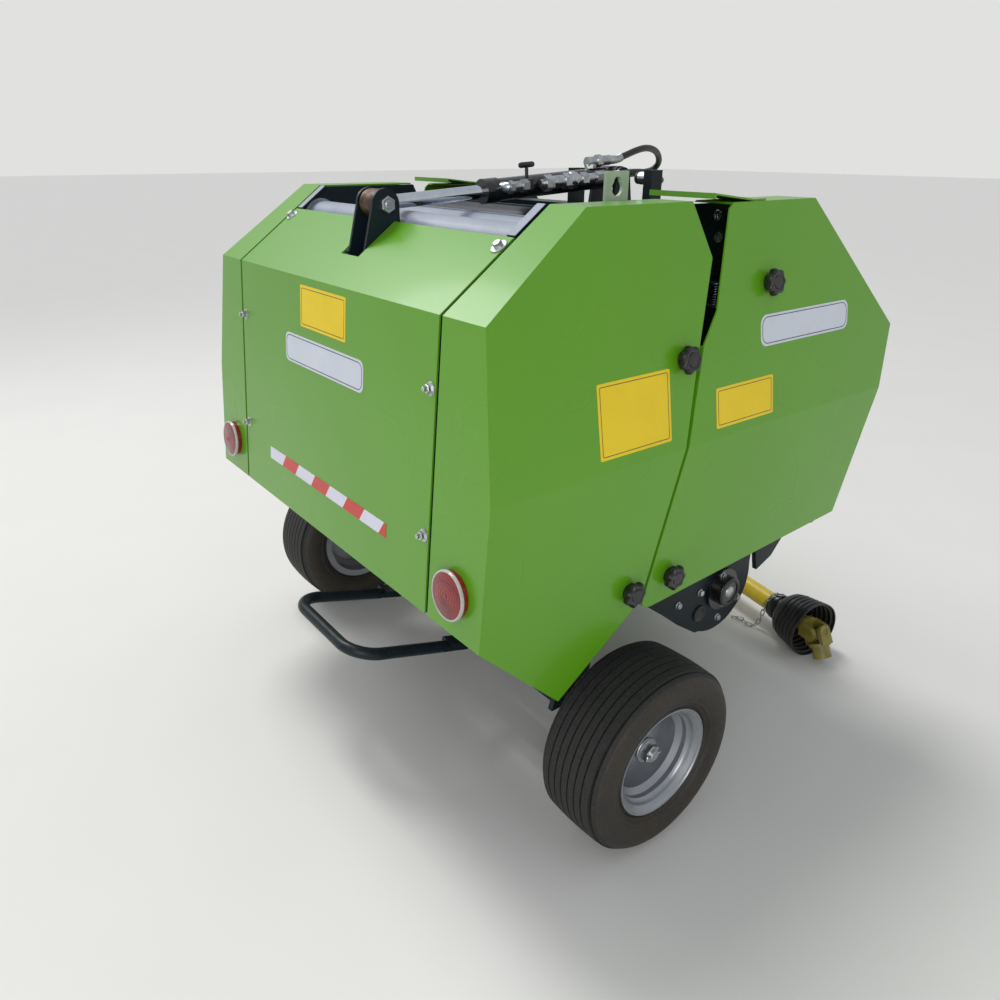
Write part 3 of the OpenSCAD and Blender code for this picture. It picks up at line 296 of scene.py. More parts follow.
def lensAcrylic(name, look):  # clear plastic moulded with small square prisms behind its face
    material, tree, coords = newMaterial(name)
    cell = addNode(tree, "ShaderNodeTexVoronoi", {"distance": "CHEBYCHEV"}, {
        "Vector": coords, "Scale": perMm(look["prism"]), "Randomness": 0.0})
    facet = addNode(tree, "ShaderNodeMapRange", None, {"Value": cell, "From Min": 0.0, "From Max": 0.5})
    colour = addNode(tree, "ShaderNodeMix", {"data_type": "RGBA"}, {
        0: facet, 6: toLinear(look["hex"]), 7: toLinear(look["shade"])}, 2)
    relief = addNode(tree, "ShaderNodeBump", None, {"Height": facet, "Distance": look["depth"] / 1000})
    surface = addNode(tree, "ShaderNodeBsdfPrincipled", None, {
        "Base Color": colour, "Roughness": 0.14, "Normal": relief, "IOR": 1.49,
        "Transmission Weight": look["clear"], "Coat Weight": 0.3, "Coat Roughness": 0.03})
    addNode(tree, "ShaderNodeOutputMaterial", None, {"Surface": surface})
    return material


# Red acrylic moulded over prisms: dark ruby with small sparkles
redAcrylic = lensAcrylic("redAcrylic", {
    "hex": "#b5121c", "shade": "#6e0a10", "clear": 0.1, "prism": 4, "depth": 0.3})

# Red acrylic moulded smooth: the lamp's dark side wall
sideAcrylic = lensAcrylic("sideAcrylic", {
    "hex": "#9c1820", "shade": "#7d1218", "clear": 0.05, "prism": 9, "depth": 0.02})

# Clear acrylic moulded smooth: a pale shining ring
clearAcrylic = lensAcrylic("clearAcrylic", {
    "hex": "#dcd8d6", "shade": "#cdc6c4", "clear": 0.3, "prism": 9, "depth": 0.02})

nodeMaterials = {
    coverEnamel: ["rear_panel", "rear_cover_right", "rear_cover_left", "front_cover_right",
                  "front_cover_left", "gap_plates", "twine_box", "pickup_bands"],
    framePaint: ["side_wall_right", "side_wall_left", "tail_wall_right", "tail_wall_left", "front_beam",
                 "front_wall", "top_beam", "chassis", "tube_bar", "headstock", "parking_stand", "rod_bracket",
                 "pickup_reel", "front_rollers", "hose_blocks"],
    # rollers and crossbar: pale lilac grey as a painted reflection of the sky on their dark frame paint
    paintedSkyGlare: ["tail_rollers", "tail_crossbar"],
    # lifting lug: pale grey green as a painted sheen of light on the dark side plate
    paintedLugSheen: ["lifting_lug"],
    zincSteel: ["barrel_fittings"],
    oiledSteel: ["input_shaft"],
    chromeRod: ["rod"],
    brownSteel: ["rod_eye"],
    blackEnamel: ["barrel", "pickup_bearings"],
    rimLacquer: ["rim_right", "rim_left"],
    castIron: ["gearbox"],
    knobPhenolic: ["front_knobs", "rear_knobs"],
    redAcrylic: ["lamps"],
    tyreRubber: ["tyre_right", "tyre_left"],
    hoseRubber: ["hose_upper", "hose_lower"],
    bellPolyethylene: ["shaft_bells"],
    tubePolyethylene: ["shaft_tube"],
    yokeEnamel: ["shaft_yokes"],
}
for material, names in nodeMaterials.items():
    for name in names:
        nodes[name].data.materials.clear()
        nodes[name].data.materials.append(material)
print("materials set on", sum(len(names) for names in nodeMaterials.values()), "parts")


# Mesh helpers: a shape is (points in mm, faces) in its own frame, and a piece joins its shapes in one mesh

def lathe(profile, segments=48):  # profile of (radius, height) turned round Z
    points, faces, rings = [], [], []
    for radius, height in profile:
        if radius < 1e-6:
            rings.append([len(points)] * segments)
            points.append((0, 0, height))
            continue
        rings.append(list(range(len(points), len(points) + segments)))
        for k in range(segments):
            turn = 2 * math.pi * k / segments
            points.append((radius * math.cos(turn), radius * math.sin(turn), height))
    for lower, upper in zip(rings, rings[1:]):
        for k in range(segments):
            n = (k + 1) % segments
            corners = [lower[k], lower[n], upper[n], upper[k]]
            face = [c for i, c in enumerate(corners) if c != corners[i - 1]]
            if len(face) > 2:
                faces.append(face)
    return points, faces


def ringQuads(first, second, count):  # faces between two rings whose points start at these numbers
    faces = []
    for k in range(count):
        n = (k + 1) % count
        faces.append([first + k, first + n, second + n, second + k])
    return faces


def prism(outline, bottom, top, bevel=0.0):  # a flat outline drawn out along Z, with an eased upper edge
    count = len(outline)
    middle = (sum(p[0] for p in outline) / count, sum(p[1] for p in outline) / count)
    shrink = []
    for x, y in outline:
        reach = math.hypot(x - middle[0], y - middle[1])
        keep = (reach - bevel) / reach
        shrink.append((middle[0] + (x - middle[0]) * keep, middle[1] + (y - middle[1]) * keep))
    layers = [(outline, bottom), (outline, top - bevel)] + ([(shrink, top)] if bevel else [])
    points = [(x, y, z) for shape, z in layers for x, y in shape]
    faces = [list(range(count))[::-1], list(range(len(points) - count, len(points)))]
    for layer in range(len(layers) - 1):
        faces += ringQuads(layer * count, (layer + 1) * count, count)
    return points, faces


def hexagon(across):  # six corners from the width across the flats
    radius = across / math.sqrt(3)
    turns = [2 * math.pi * k / 6 for k in range(6)]
    return [(radius * math.cos(turn), radius * math.sin(turn)) for turn in turns]


def roundedBox(width, height, corner, steps=6):
    outline = []
    for quarter, (sx, sy) in enumerate(((1, 1), (-1, 1), (-1, -1), (1, -1))):
        for k in range(steps + 1):
            turn = math.pi / 2 * (quarter + k / steps)
            outline.append((sx * (width / 2 - corner) + corner * math.cos(turn),
                            sy * (height / 2 - corner) + corner * math.sin(turn)))
    return outline


boltFlange = {"height": 1.8, "edge": 0.6, "ease": 1, "chamfer": 0.8}  # edge is the upright share of its rim


def boltShapes(look, origin, out):  # a flanged hex head, with the end of its thread where it has one
    flange, thick = look["flange"], boltFlange["height"]
    rim = [(flange, 0), (flange, thick * boltFlange["edge"]), (flange - boltFlange["ease"], thick)]
    parts = [lathe([(0, 0), *rim, (0, thick)], 32),
             prism(hexagon(look["across"]), thick, look["head"], boltFlange["chamfer"])]
    if "thread" in look:
        radius, end = look["thread"]
        parts.append(lathe([(radius, 0), (radius, end - 1), (radius - 1, end), (0, end)], 16))
    return [place(part, origin, out) for part in parts]


def smoothPath(points, steps):  # a curve through all the points
    path = [Vector(p) for p in points]
    ends = [path[0] * 2 - path[1]] + path + [path[-1] * 2 - path[-2]]
    made = []
    for i in range(1, len(ends) - 2):
        a, b, c, d = ends[i - 1:i + 3]
        for k in range(steps):
            t = k / steps
            made.append(0.5 * (2 * b + (c - a) * t + (2 * a - 5 * b + 4 * c - d) * t * t
                               + (3 * b - a - 3 * c + d) * t ** 3))
    return made + [path[-1]]


def tube(path, radius, sides=16, closed=False):
    path = [Vector(p) for p in path]
    count = len(path)
    points, faces = [], []
    side = None
    for i in range(count):
        if closed:
            along = (path[(i + 1) % count] - path[i - 1]).normalized()
        else:
            along = (path[min(i + 1, count - 1)] - path[max(i - 1, 0)]).normalized()
        if side is None:
            side = along.orthogonal().normalized()
        side = (side - along * side.dot(along)).normalized()
        other = along.cross(side)
        here = radius[i] if isinstance(radius, list) else radius
        for k in range(sides):
            turn = 2 * math.pi * k / sides
            points.append(tuple(path[i] + here * (side * math.cos(turn) + other * math.sin(turn))))
    for i in range(count if closed else count - 1):
        faces += ringQuads(i * sides, (i + 1) % count * sides, sides)
    if not closed:
        faces.append(list(range(sides))[::-1])
        faces.append([(count - 1) * sides + k for k in range(sides)])
    return points, faces


def place(shape, origin, zAxis, xAxis=None):  # puts a shape's +Z along zAxis at a point in the frame, in mm
    up = Vector(zAxis).normalized()
    first = Vector(xAxis) if xAxis is not None else up.orthogonal()
    first = (first - up * first.dot(up)).normalized()
    second = up.cross(first)
    matrix = Matrix((first, second, up)).transposed()
    points, faces = shape
    return [tuple(matrix @ Vector(p) + Vector(origin)) for p in points], faces


def mirrored(shape):
    points, faces = shape
    return [(-x, y, z) for x, y, z in points], [list(reversed(face)) for face in faces]


def bothSides(shapes):
    return [side for shape in shapes for side in (shape, mirrored(shape))]


def makePiece(name, shapes, body, material, sharp=32):
    points, faces = [], []
    for shapePoints, shapeFaces in shapes:
        start = len(points)
        points += [at(*p) for p in shapePoints]
        faces += [[start + i for i in face] for face in shapeFaces]
    mesh = bpy.data.meshes.new(name)
    mesh.from_pydata(points, [], faces)
    mesh.validate()
    mesh.materials.append(material)
    mesh.polygons.foreach_set("use_smooth", [True] * len(mesh.polygons))
    mesh.set_sharp_from_angle(angle=math.radians(sharp))
    piece = bpy.data.objects.new(name, mesh)
    bpy.context.scene.collection.objects.link(piece)
    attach(piece, body)
    return piece


# Surfaces that things are mounted on, in mm

coverFold = 838
coverLean = 0.163
coverHalf = 519
rearCrease = Vector((0, 0, 1083))
rearUp = Vector((0, 45, 478)).normalized()
rearOut = Vector((0, -rearUp.z, rearUp.y))
rearRight = Vector((1, 0, 0))
slopeUp = Vector((0, 195, 141)).normalized()
slopeOut = Vector((0, -slopeUp.z, slopeUp.y))


def onRear(x, z):  # a point on the rear panel
    return Vector((x, (z - rearCrease.z) * rearUp.y / rearUp.z, z))


def onSlope(x, along):  # a point on the sloping top, that far up from the crease
    return rearCrease + slopeUp * along + rearRight * x


def onCover(y, z):  # a point on the right covers' outer face, with its outward direction
    if z < coverFold:
        return Vector((coverHalf, y, z)), Vector((1, 0, 0))
    return Vector((coverHalf - (z - coverFold) * coverLean, y, z)), Vector((1, 0, coverLean)).normalized()


# Bolts of the tailgate's panel, and a painted reflection along its walls' folded edges

panelBolt = {"across": 13, "head": 9, "flange": 11, "thread": (4, 15)}
panelPlaces = [(357, 974), (357, 739)]
slopeBolt = {"across": 13, "head": 9, "flange": 14}
slopePlace = (358, 143)
lipBolt = {"across": 10, "head": 7, "flange": 9, "thread": (3, 12)}
lipPlace = (360, -32, 604.9)
seatLift = 0.05  # mm between a bolt's flange and the sheet under it
wallEdge = {"x": 360, "width": 19, "corner": 3, "from": 168.5, "to": 240,
            "lift": 0.1, "top": 0.6, "bevel": 0.2}  # lift and top are heights above the wall's folded edge

shapes = []
for x, z in panelPlaces:
    shapes += boltShapes(panelBolt, onRear(x, z) + rearOut * seatLift, rearOut)
shapes += boltShapes(slopeBolt, onSlope(*slopePlace) + slopeOut * seatLift, slopeOut)
shapes += boltShapes(lipBolt, lipPlace, (0, 0, -1))
makePiece("panelBolts", bothSides(shapes), "tailgate", zincSteel)

# thin pale strips on the walls' dark folded edges: a painted reflection of the sky on the frame paint
edgeLength = wallEdge["to"] - wallEdge["from"]
edgeOutline = roundedBox(wallEdge["width"], edgeLength, wallEdge["corner"])
edgePlace = onSlope(wallEdge["x"], wallEdge["from"] + edgeLength / 2)
edgeShape = prism(edgeOutline, wallEdge["lift"], wallEdge["top"], wallEdge["bevel"])
edgeShape = place(edgeShape, edgePlace, slopeOut, rearRight)
makePiece("wallEdgeGlare", bothSides([edgeShape]), "tailgate", paintedSkyGlare)
print("panel bolts made")


# Blank labels and the marking strip

label = {"lift": 0.15, "top": 0.65, "lineTop": 0.77, "bevel": 0.15, "leastCorner": 0.5}


def labelShape(width, height, corner, origin, out, right):
    shape = prism(roundedBox(width, height, corner), label["lift"], label["top"], label["bevel"])
    return place(shape, origin, out, right)


def lineShape(width, height, corner, line, origin, out, right):  # a printed line round a label
    outer = roundedBox(width, height, corner)
    inner = roundedBox(width - 2 * line, height - 2 * line, max(corner - line, label["leastCorner"]))
    count = len(outer)
    points = [(x, y, z) for z in (label["lift"], label["lineTop"]) for x, y in outer + inner]
    faces = []
    for first, second in ((0, 2), (2, 3), (3, 1), (1, 0)):  # outer low, inner low, outer top, inner top
        faces += ringQuads(first * count, second * count, count)
    return place((points, faces), origin, out, right)


panelLabels = [  # name, material, x and z of the middle, width, height, corner, line, inset of the line
    ("panelLabel", yellowVinyl, 1.5, 1031, 177, 76, 3, 1.2, 5),
    ("panelPlate", whiteVinyl, 0, 946, 308, 56, 14, 1.5, 4),
]
for name, material, x, z, width, height, corner, line, inset in panelLabels:
    face = labelShape(width, height, corner, onRear(x, z), rearOut, rearRight)
    edge = lineShape(width - 2 * inset, height - 2 * inset, corner, line, onRear(x, z), rearOut, rearRight)
    makePiece(name, [face], "tailgate", material)
    makePiece(name + "Line", [edge], "tailgate", blackVinyl)

coverLabels = [  # body, material, line and its inset, y from and to, z from and to, corner
    ("tailgate", yellowVinyl, 1.2, 5, 193, 356, 858, 976, 3),
    ("root", yellowVinyl, 1.2, 5, 473, 636, 854, 924, 3),
    ("root", whiteVinyl, 1.5, 4, 600, 882, 976, 1031, 16),
]
for index, (body, material, line, inset, y0, y1, z0, z1, corner) in enumerate(coverLabels):
    origin, out = onCover((y0 + y1) / 2, (z0 + z1) / 2)
    right = Vector((0, 1, 0))
    width, height = y1 - y0, (z1 - z0) / out.x
    face = labelShape(width, height, corner, origin, out, right)
    edge = lineShape(width - 2 * inset, height - 2 * inset, corner, line, origin, out, right)
    makePiece(f"coverLabel_{index}", bothSides([face]), body, material)
    makePiece(f"coverLabelLine_{index}", bothSides([edge]), body, blackVinyl)

strip = {"low": 689, "high": 715, "slant": 18, "half": 242, "lift": 0.1, "thick": 0.5,
         "joins": [-173, -110, -38, 25, 94, 158, 226]}  # joins in the middle of the strip's height
stripMiddle = (strip["low"] + strip["high"]) / 2
rise = (strip["high"] - strip["low"]) / 2 / rearUp.z
stripShapes = {"red": [], "white": []}
stripEnds = [-strip["half"]] + strip["joins"] + [strip["half"]]
for k, (left, right) in enumerate(zip(stripEnds, stripEnds[1:])):
    leanLeft = 0 if k == 0 else strip["slant"] / 2
    leanRight = 0 if k == len(strip["joins"]) else strip["slant"] / 2
    outline = [(left - leanLeft, -rise), (right - leanRight, -rise),
               (right + leanRight, rise), (left + leanLeft, rise)]
    shape = prism(outline, strip["lift"], strip["lift"] + strip["thick"])
    stripShapes["red" if k % 2 else "white"].append(place(shape, onRear(0, stripMiddle), rearOut, rearRight))
makePiece("stripRed", stripShapes["red"], "tailgate", redReflex)
makePiece("stripWhite", stripShapes["white"], "tailgate", whiteReflex)
print("labels and strip made")


# Star knobs: seven round lobes, a waist under the head and a raised middle

knob = {"middle": 21.7, "lobe": 2.3, "lobes": 7, "segments": 98, "rings": [  # share of both, height
    (0.66, 0.0, 0.2), (0.66, 0.0, 6.4), (0.72, 0.1, 7.2), (0.93, 0.9, 8.2), (0.99, 1.0, 10.0),
    (1.0, 1.0, 14.5), (0.98, 1.0, 18.5), (0.93, 0.95, 20.6), (0.86, 0.7, 21.8), (0.78, 0.4, 22.0),
    (0.64, 0.1, 21.6), (0.57, 0.0, 20.6), (0.55, 0.0, 20.6), (0.52, 0.0, 21.8), (0.4, 0.0, 22.0)]}


def knobShape():
    segments = knob["segments"]
    points, faces = [], []
    for share, lobed, height in knob["rings"]:
        for k in range(segments):
            turn = 2 * math.pi * k / segments
            radius = knob["middle"] * share + knob["lobe"] * lobed * math.cos(knob["lobes"] * turn)
            points.append((radius * math.cos(turn), radius * math.sin(turn), height))
    last = len(knob["rings"]) - 1
    for ring in range(last):
        faces += ringQuads(ring * segments, (ring + 1) * segments, segments)
    faces.append(list(range(segments))[::-1])
    faces.append([last * segments + k for k in range(segments)])
    return points, faces


knobPlaces = {
    "tailgate": ("rear_knobs", [(391, 985), (276, 601)]),
    "root": ("front_knobs", [(622, 1085), (380, 599)]),
}
for body, (cadName, places) in knobPlaces.items():
    shapes = [place(knobShape(), *onCover(y, z), (0, 1, 0)) for y, z in places]
    piece = makePiece("starKnobs_" + body, bothSides(shapes), body, knobPhenolic, sharp=50)
    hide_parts(cadName)
print("star knobs made")


# Rear lamps: dark red side wall, pale ring and a stepped ruby lens

lamp = {  # heights are in mm off the panel, and the lens's steps rise from its rim to its middle
    "place": (447, 676),
    "lens": {"radius": 37, "from": 7, "height": 17, "edge": 14, "outerStep": 14.3, "crown": 2.2,
             "steps": 6, "ease": 0.4, "flat": 1.2, "slope": 0.3},
    "wall": [(0, 0.2), (38, 0.2), (38.4, 1), (37.6, 9.5), (0, 9.5)],
    "ring": [(37, 9.4), (40.4, 9.4), (41, 10), (41, 13.2), (40.2, 14.6), (38.6, 15), (37.4, 14.4), (37, 9.4)]}


def lampShapes(profile):
    return bothSides([place(lathe(profile, 64), onRear(*lamp["place"]), rearOut)])


lens = lamp["lens"]
lensProfile = [(lens["radius"], lens["from"]), (lens["radius"], lens["edge"])]
lensStep = lens["radius"] / lens["steps"]
for k in range(lens["steps"]):
    outer = lens["radius"] - lensStep * k
    top = lens["outerStep"] + lens["crown"] * (1 - (outer / lens["radius"]) ** 2)
    lensProfile += [(outer - lens["ease"], top - lens["slope"]), (outer - lens["flat"], top),
                    (outer - lensStep + lens["ease"], top + lens["slope"])]
lensProfile += [(0, lens["height"])]
makePiece("lampWalls", lampShapes(lamp["wall"]), "tailgate", sideAcrylic)
piece = makePiece("lampLenses", lampShapes(lensProfile), "tailgate", redAcrylic)
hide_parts("lamps")
makePiece("lampRings", lampShapes(lamp["ring"]), "tailgate", clearAcrylic)
print("lamps made")


# Tyres with seven ribs, a browner side wall, and the wheels' nuts

axle = {"x": 557.5, "y": 290, "z": 288}
tyre = {
    "radius": 184, "crown": 2.6, "half": 57, "ribs": 7, "groove": 3, "grooveDepth": 5.5, "grooveLean": 0.5,
    "inner": (93.7, 31), "sideReach": 0.1715,  # the side wall's compound ends at this radius, in m
    "side": [(95.3, 50.7), (101.3, 58.2), (108, 60.7), (112, 60.7), (113.5, 64), (116.5, 66.5), (118.5, 66.8),
             (120, 69.5), (123, 71.8), (125.5, 72.2), (127, 71.6), (129, 73), (134, 75), (140, 76), (147, 76),
             (154, 75.4), (160, 74.2), (165, 72.6), (169, 70.6), (172.5, 68), (175, 65.4), (176.6, 62.6),
             (177.2, 61.2), (174, 59.4), (174, 58.2)]}


def treadRadius(across):
    return tyre["radius"] - tyre["crown"] * (across / tyre["half"]) ** 2


def tyreProfile():  # (radius, across) from the inner bead round the outside to the outer bead
    pitch = 2 * tyre["half"] / tyre["ribs"]
    gap = tyre["groove"] / 2
    lean = gap * tyre["grooveLean"]
    tread = []
    for k in range(tyre["ribs"]):
        start = tyre["half"] - k * pitch - gap * (k > 0)
        end = tyre["half"] - (k + 1) * pitch + gap * (k < tyre["ribs"] - 1)
        if k > 0:
            tread.append((treadRadius(start) - tyre["grooveDepth"], start + lean))
        tread += [(treadRadius(start), start), (treadRadius(end), end)]
        if k < tyre["ribs"] - 1:
            tread.append((treadRadius(end) - tyre["grooveDepth"], end - lean))
    across = tyre["inner"][1]
    bead = [(tyre["inner"][0], -across), (tyre["inner"][0], across)]
    return tyre["side"] + tread + [(r, -a) for r, a in reversed(tyre["side"])] + bead + tyre["side"][:1]


def onWheel(shape, side):
    return place(shape, (side * axle["x"], axle["y"], axle["z"]), (side, 0, 0), (0, 0, 1))


hub = at(0, axle["y"], axle["z"])
for side, name in ((1, "right"), (-1, "left")):
    rubber = makePiece("tyre_" + name + "_ribbed", [onWheel(lathe(tyreProfile(), 96), side)],
                       "wheel_" + name, tyreRubber, sharp=28)
    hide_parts("tyre_" + name)
    rubber.data.materials.append(sidewallRubber)
    for face in rubber.data.polygons:
        reach = math.hypot(face.center.y - hub.y, face.center.z - hub.z)
        face.material_index = 1 if reach < tyre["sideReach"] else 0

wheelNut = {
    "washer": [(0, 20.5), (25, 20.5), (25, 22.6), (24, 23.8), (21, 24.2), (19.5, 25.4), (0, 25.6)],
    "across": 32, "from": 25.4, "to": 39.6, "chamfer": 1.4,
    "bolt": [(10.4, 30), (10.4, 43.4), (9.2, 44.6), (0, 44.6)],
    "pin": [(0, -17, 42), (0, 15, 42), (2.5, 18, 41.6), (5, 16.5, 40.8)], "pinRadius": 1.5}
for side, name in ((1, "right"), (-1, "left")):
    parts = [lathe(wheelNut["washer"], 40),
             prism(hexagon(wheelNut["across"]), wheelNut["from"], wheelNut["to"], wheelNut["chamfer"]),
             lathe(wheelNut["bolt"], 24), tube(wheelNut["pin"], wheelNut["pinRadius"], 10)]
    makePiece("wheelNut_" + name, [onWheel(part, side) for part in parts], "wheel_" + name, zincSteel)
print("tyres and wheel nuts made")


# Hoses: smooth rubber along the routes of the solids, with crimped sleeves

footPin = Vector((0, 700, 1243))
rodPin = Vector((0, 120, 1208))
tilt = math.atan2(footPin.z - rodPin.z, footPin.y - rodPin.y)
cylinderTurn = Matrix.Rotation(tilt, 3, "X")


def inCylinder(shape):  # from the cylinder's own frame, +Y along it to the foot pin
    points, faces = shape
    return [tuple(cylinderTurn @ Vector(p) + footPin) for p in points], faces


hose = {"radius": 7, "sides": 20, "sleeve": 8.8, "lengths": (36, 25.2), "crimps": 8, "crimpSteps": 4,
        "crimpDip": 0.7, "endDip": 1.4}  # lengths of the sleeves at a route's start and at its end
hoseRoutes = {
    "hose_upper": [(0, -6, 34), (0, 15, 34), (-1, 45, 40), (-4, 80, 47), (-10, 115, 50), (-20, 150, 46),
                   (-32, 180, 36), (-46, 203, 20), (-60, 212, 6), (-72, 206, -3), (-81, 188, -7),
                   (-86, 160, -8), (-87, 125, -7), (-86, 90, -4), (-85, 50, 0), (-85, 19, 0)],
    "hose_lower": [(39, -60, 6), (39, -52, 6), (43, -41, 7), (49, -29, 8), (52, -12, 9), (52, 10, 9),
                   (53, 28, 8), (56, 44, 6), (61, 57, 2), (69, 65, -3), (79, 66, -7), (88, 61, -9),
                   (94, 51, -8), (97, 40, -4), (98, 29, 0), (98, 19, 0)],
}


def sleeveShape(path, length):  # a sleeve over the start of a path, crimped in rings
    walked, taken = [0.0], [path[0]]
    for a, b in zip(path, path[1:]):
        if walked[-1] > length:
            break
        walked.append(walked[-1] + (b - a).length)
        taken.append(b)
    centres, radii = [], []
    steps = hose["crimps"] * hose["crimpSteps"]
    for k in range(steps + 1):
        goal = min(length, walked[-1]) * k / steps
        i = max(j for j in range(len(walked)) if walked[j] <= goal + 1e-9)
        i = min(i, len(walked) - 2)
        share = (goal - walked[i]) / (walked[i + 1] - walked[i])
        centres.append(taken[i].lerp(taken[i + 1], share))
        dip = hose["crimpDip"] if k % hose["crimpSteps"] in (0, 1) else 0.0
        radii.append(hose["sleeve"] - (hose["endDip"] if k in (0, steps) else dip))
    return tube(centres, radii, hose["sides"])


sleeves = []
for cadName, route in hoseRoutes.items():
    path = smoothPath(route, 6)
    rubber = inCylinder(tube(path, hose["radius"], hose["sides"]))
    piece = makePiece(cadName + "_smooth", [rubber], "cylinder", hoseRubber, sharp=60)
    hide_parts(cadName)
    for run, length in zip((path, path[::-1]), hose["lengths"]):
        sleeves.append(inCylinder(sleeveShape(run, length)))
makePiece("hoseSleeves", sleeves, "cylinder", zincSteel, sharp=50)
print("hoses made")


# Fittings on the cylinder: union nuts, the ball of the tap, an elbow, and the tap's handle

nutsAlong = [  # x, z, y from and to, width across the flats
    (39, 6, -314, -304, 21), (39, 6, -284, -268, 22), (39, 6, -226, -206, 27), (39, 6, -176, -158, 27),
    (39, 6, -128, -110, 23), (39, 6, -86, -60, 21), (0, 34, -48, -32, 22),
]
nutChamfer = 0.9
standingNut = {"y": -62, "z": (22, 30), "across": 21, "chamfer": 0.8}
tapBody = {"place": (39, -151, 6), "profile": [
    (9, -12), (13.5, -11), (16.4, -6), (17, 0), (16.4, 6), (13.5, 11), (9, 12)]}
elbow = {"radius": 9.6, "path": [
    (22, -315, 6), (31, -315, 6), (36, -313.5, 6), (38.5, -309, 6), (39, -303, 6), (39, -270, 6)]}
tapHandle = {"x": 24, "z": 42, "path": [-274, -273, -270, -242, -239, -238],
             "radii": [2.4, 4.6, 5.4, 5.4, 4.6, 2.4]}

shapes = []
for x, z, y0, y1, across in nutsAlong:
    shapes.append(place(prism(hexagon(across), 0, y1 - y0, nutChamfer), (x, y0, z), (0, 1, 0), (0, 0, 1)))
nut = prism(hexagon(standingNut["across"]), *standingNut["z"], standingNut["chamfer"])
shapes.append(place(nut, (0, standingNut["y"], 0), (0, 0, 1)))
shapes.append(place(lathe(tapBody["profile"], 32), tapBody["place"], (0, 1, 0)))
shapes.append(tube(smoothPath(elbow["path"], 3), elbow["radius"], 20))
makePiece("cylinderNuts", [inCylinder(shape) for shape in shapes], "cylinder", zincSteel)

handle = tube([(tapHandle["x"], y, tapHandle["z"]) for y in tapHandle["path"]], tapHandle["radii"], 16)
makePiece("tapHandle", [inCylinder(handle)], "cylinder", knobPhenolic, sharp=50)

eyeBolt = {"across": 25, "from": 30.1, "to": 40.4, "chamfer": 1.2,
           "end": [(7, 40), (7, 41), (6, 42), (0, 42)]}
shapes = [prism(hexagon(eyeBolt["across"]), eyeBolt["from"], eyeBolt["to"], eyeBolt["chamfer"]),
          lathe(eyeBolt["end"], 24)]
shapes = [place(shape, rodPin, (1, 0, 0), (0, 0, 1)) for shape in shapes]
makePiece("eyeBolt", bothSides(shapes), "tailgate", zincSteel)
print("cylinder fittings made")


# On the side walls: screws, the shaft bearing, a rubber plug, and the spring between the covers

wallFace = 358
wallScrew = {"across": 13, "head": 7, "flange": 9}
wallPlaces = [(628, 362), (704, 368), (780, 274), (851, 303), (614, 1190), (623, 1151)]  # y and z
bearing = {"place": (780, 354), "flange": 366, "face": 384, "bolts": [(771, 393), (786, 314)],
           "ring": [(26, 0.1), (26, 1.6), (27, 2.4), (33, 2.4), (35, 1.4), (35.6, 0.1)],
           "cap": [(0, 3.6), (8, 3.4), (12, 2.6), (14.5, 1.0), (15, 0.1)]}
plug = {"place": (708, 311), "profile": [
    (0, 1.4), (12, 1.6), (16, 2.6), (18.5, 4.2), (20.4, 3.8), (21, 2.0), (21, 0.1)]}
spring = {"x": 376, "y": 612, "from": 1030, "to": 1072, "radius": 6, "wire": 1.1, "turns": 9, "steps": 12,
          "stud": {"radius": 3, "path": (358.1, 381, 382), "ease": 1}}  # path is x at the wall, rim and end

shapes = []
for y, z in wallPlaces:
    shapes += boltShapes(wallScrew, (wallFace + seatLift, y, z), (1, 0, 0))
for y, z in bearing["bolts"]:
    shapes += boltShapes(wallScrew, (bearing["flange"] + seatLift, y, z), (1, 0, 0))
stud = spring["stud"]
for z in (spring["from"], spring["to"]):
    radii = [stud["radius"], stud["radius"], stud["radius"] - stud["ease"]]
    shapes.append(tube([(x, spring["y"], z) for x in stud["path"]], radii, 12))
coil = []
coilSteps = spring["turns"] * spring["steps"]
for k in range(coilSteps + 1):
    turn = 2 * math.pi * k / spring["steps"]
    coil.append((spring["x"] + spring["radius"] * math.cos(turn),
                 spring["y"] + spring["radius"] * math.sin(turn),
                 spring["from"] + (spring["to"] - spring["from"]) * k / coilSteps))
shapes.append(tube(coil, spring["wire"], 8))
cap = place(lathe(bearing["cap"], 32), (bearing["face"], *bearing["place"]), (1, 0, 0))
makePiece("wallScrews", bothSides(shapes + [cap]), "root", zincSteel)

ring = place(lathe(bearing["ring"], 48), (bearing["face"], *bearing["place"]), (1, 0, 0))
cover = place(lathe(plug["profile"], 32), (wallFace, *plug["place"]), (1, 0, 0))
makePiece("wallPlugs", bothSides([ring, cover]), "root", knobPhenolic, sharp=50)
print("side wall fittings made")


# On the loose drive shaft: a collar on the near bell's neck, its chain, and a blank label on the tube

shaft = {"mouth": Vector((460, 1058, 178)), "turn": 168, "collarAt": 122, "labelFrom": 300, "labelTo": 390,
         "tubeRadius": 25}
shaftWay = Vector((math.cos(math.radians(shaft["turn"])), math.sin(math.radians(shaft["turn"])), 0))
collar = [(33.1, -8), (35.4, -8), (36, -7), (36, 7), (35.4, 8), (33.1, 8), (33.1, -8)]
makePiece("bellCollar", [place(lathe(collar, 40), shaft["mouth"] + shaftWay * shaft["collarAt"], shaftWay)],
          "root", knobPhenolic)

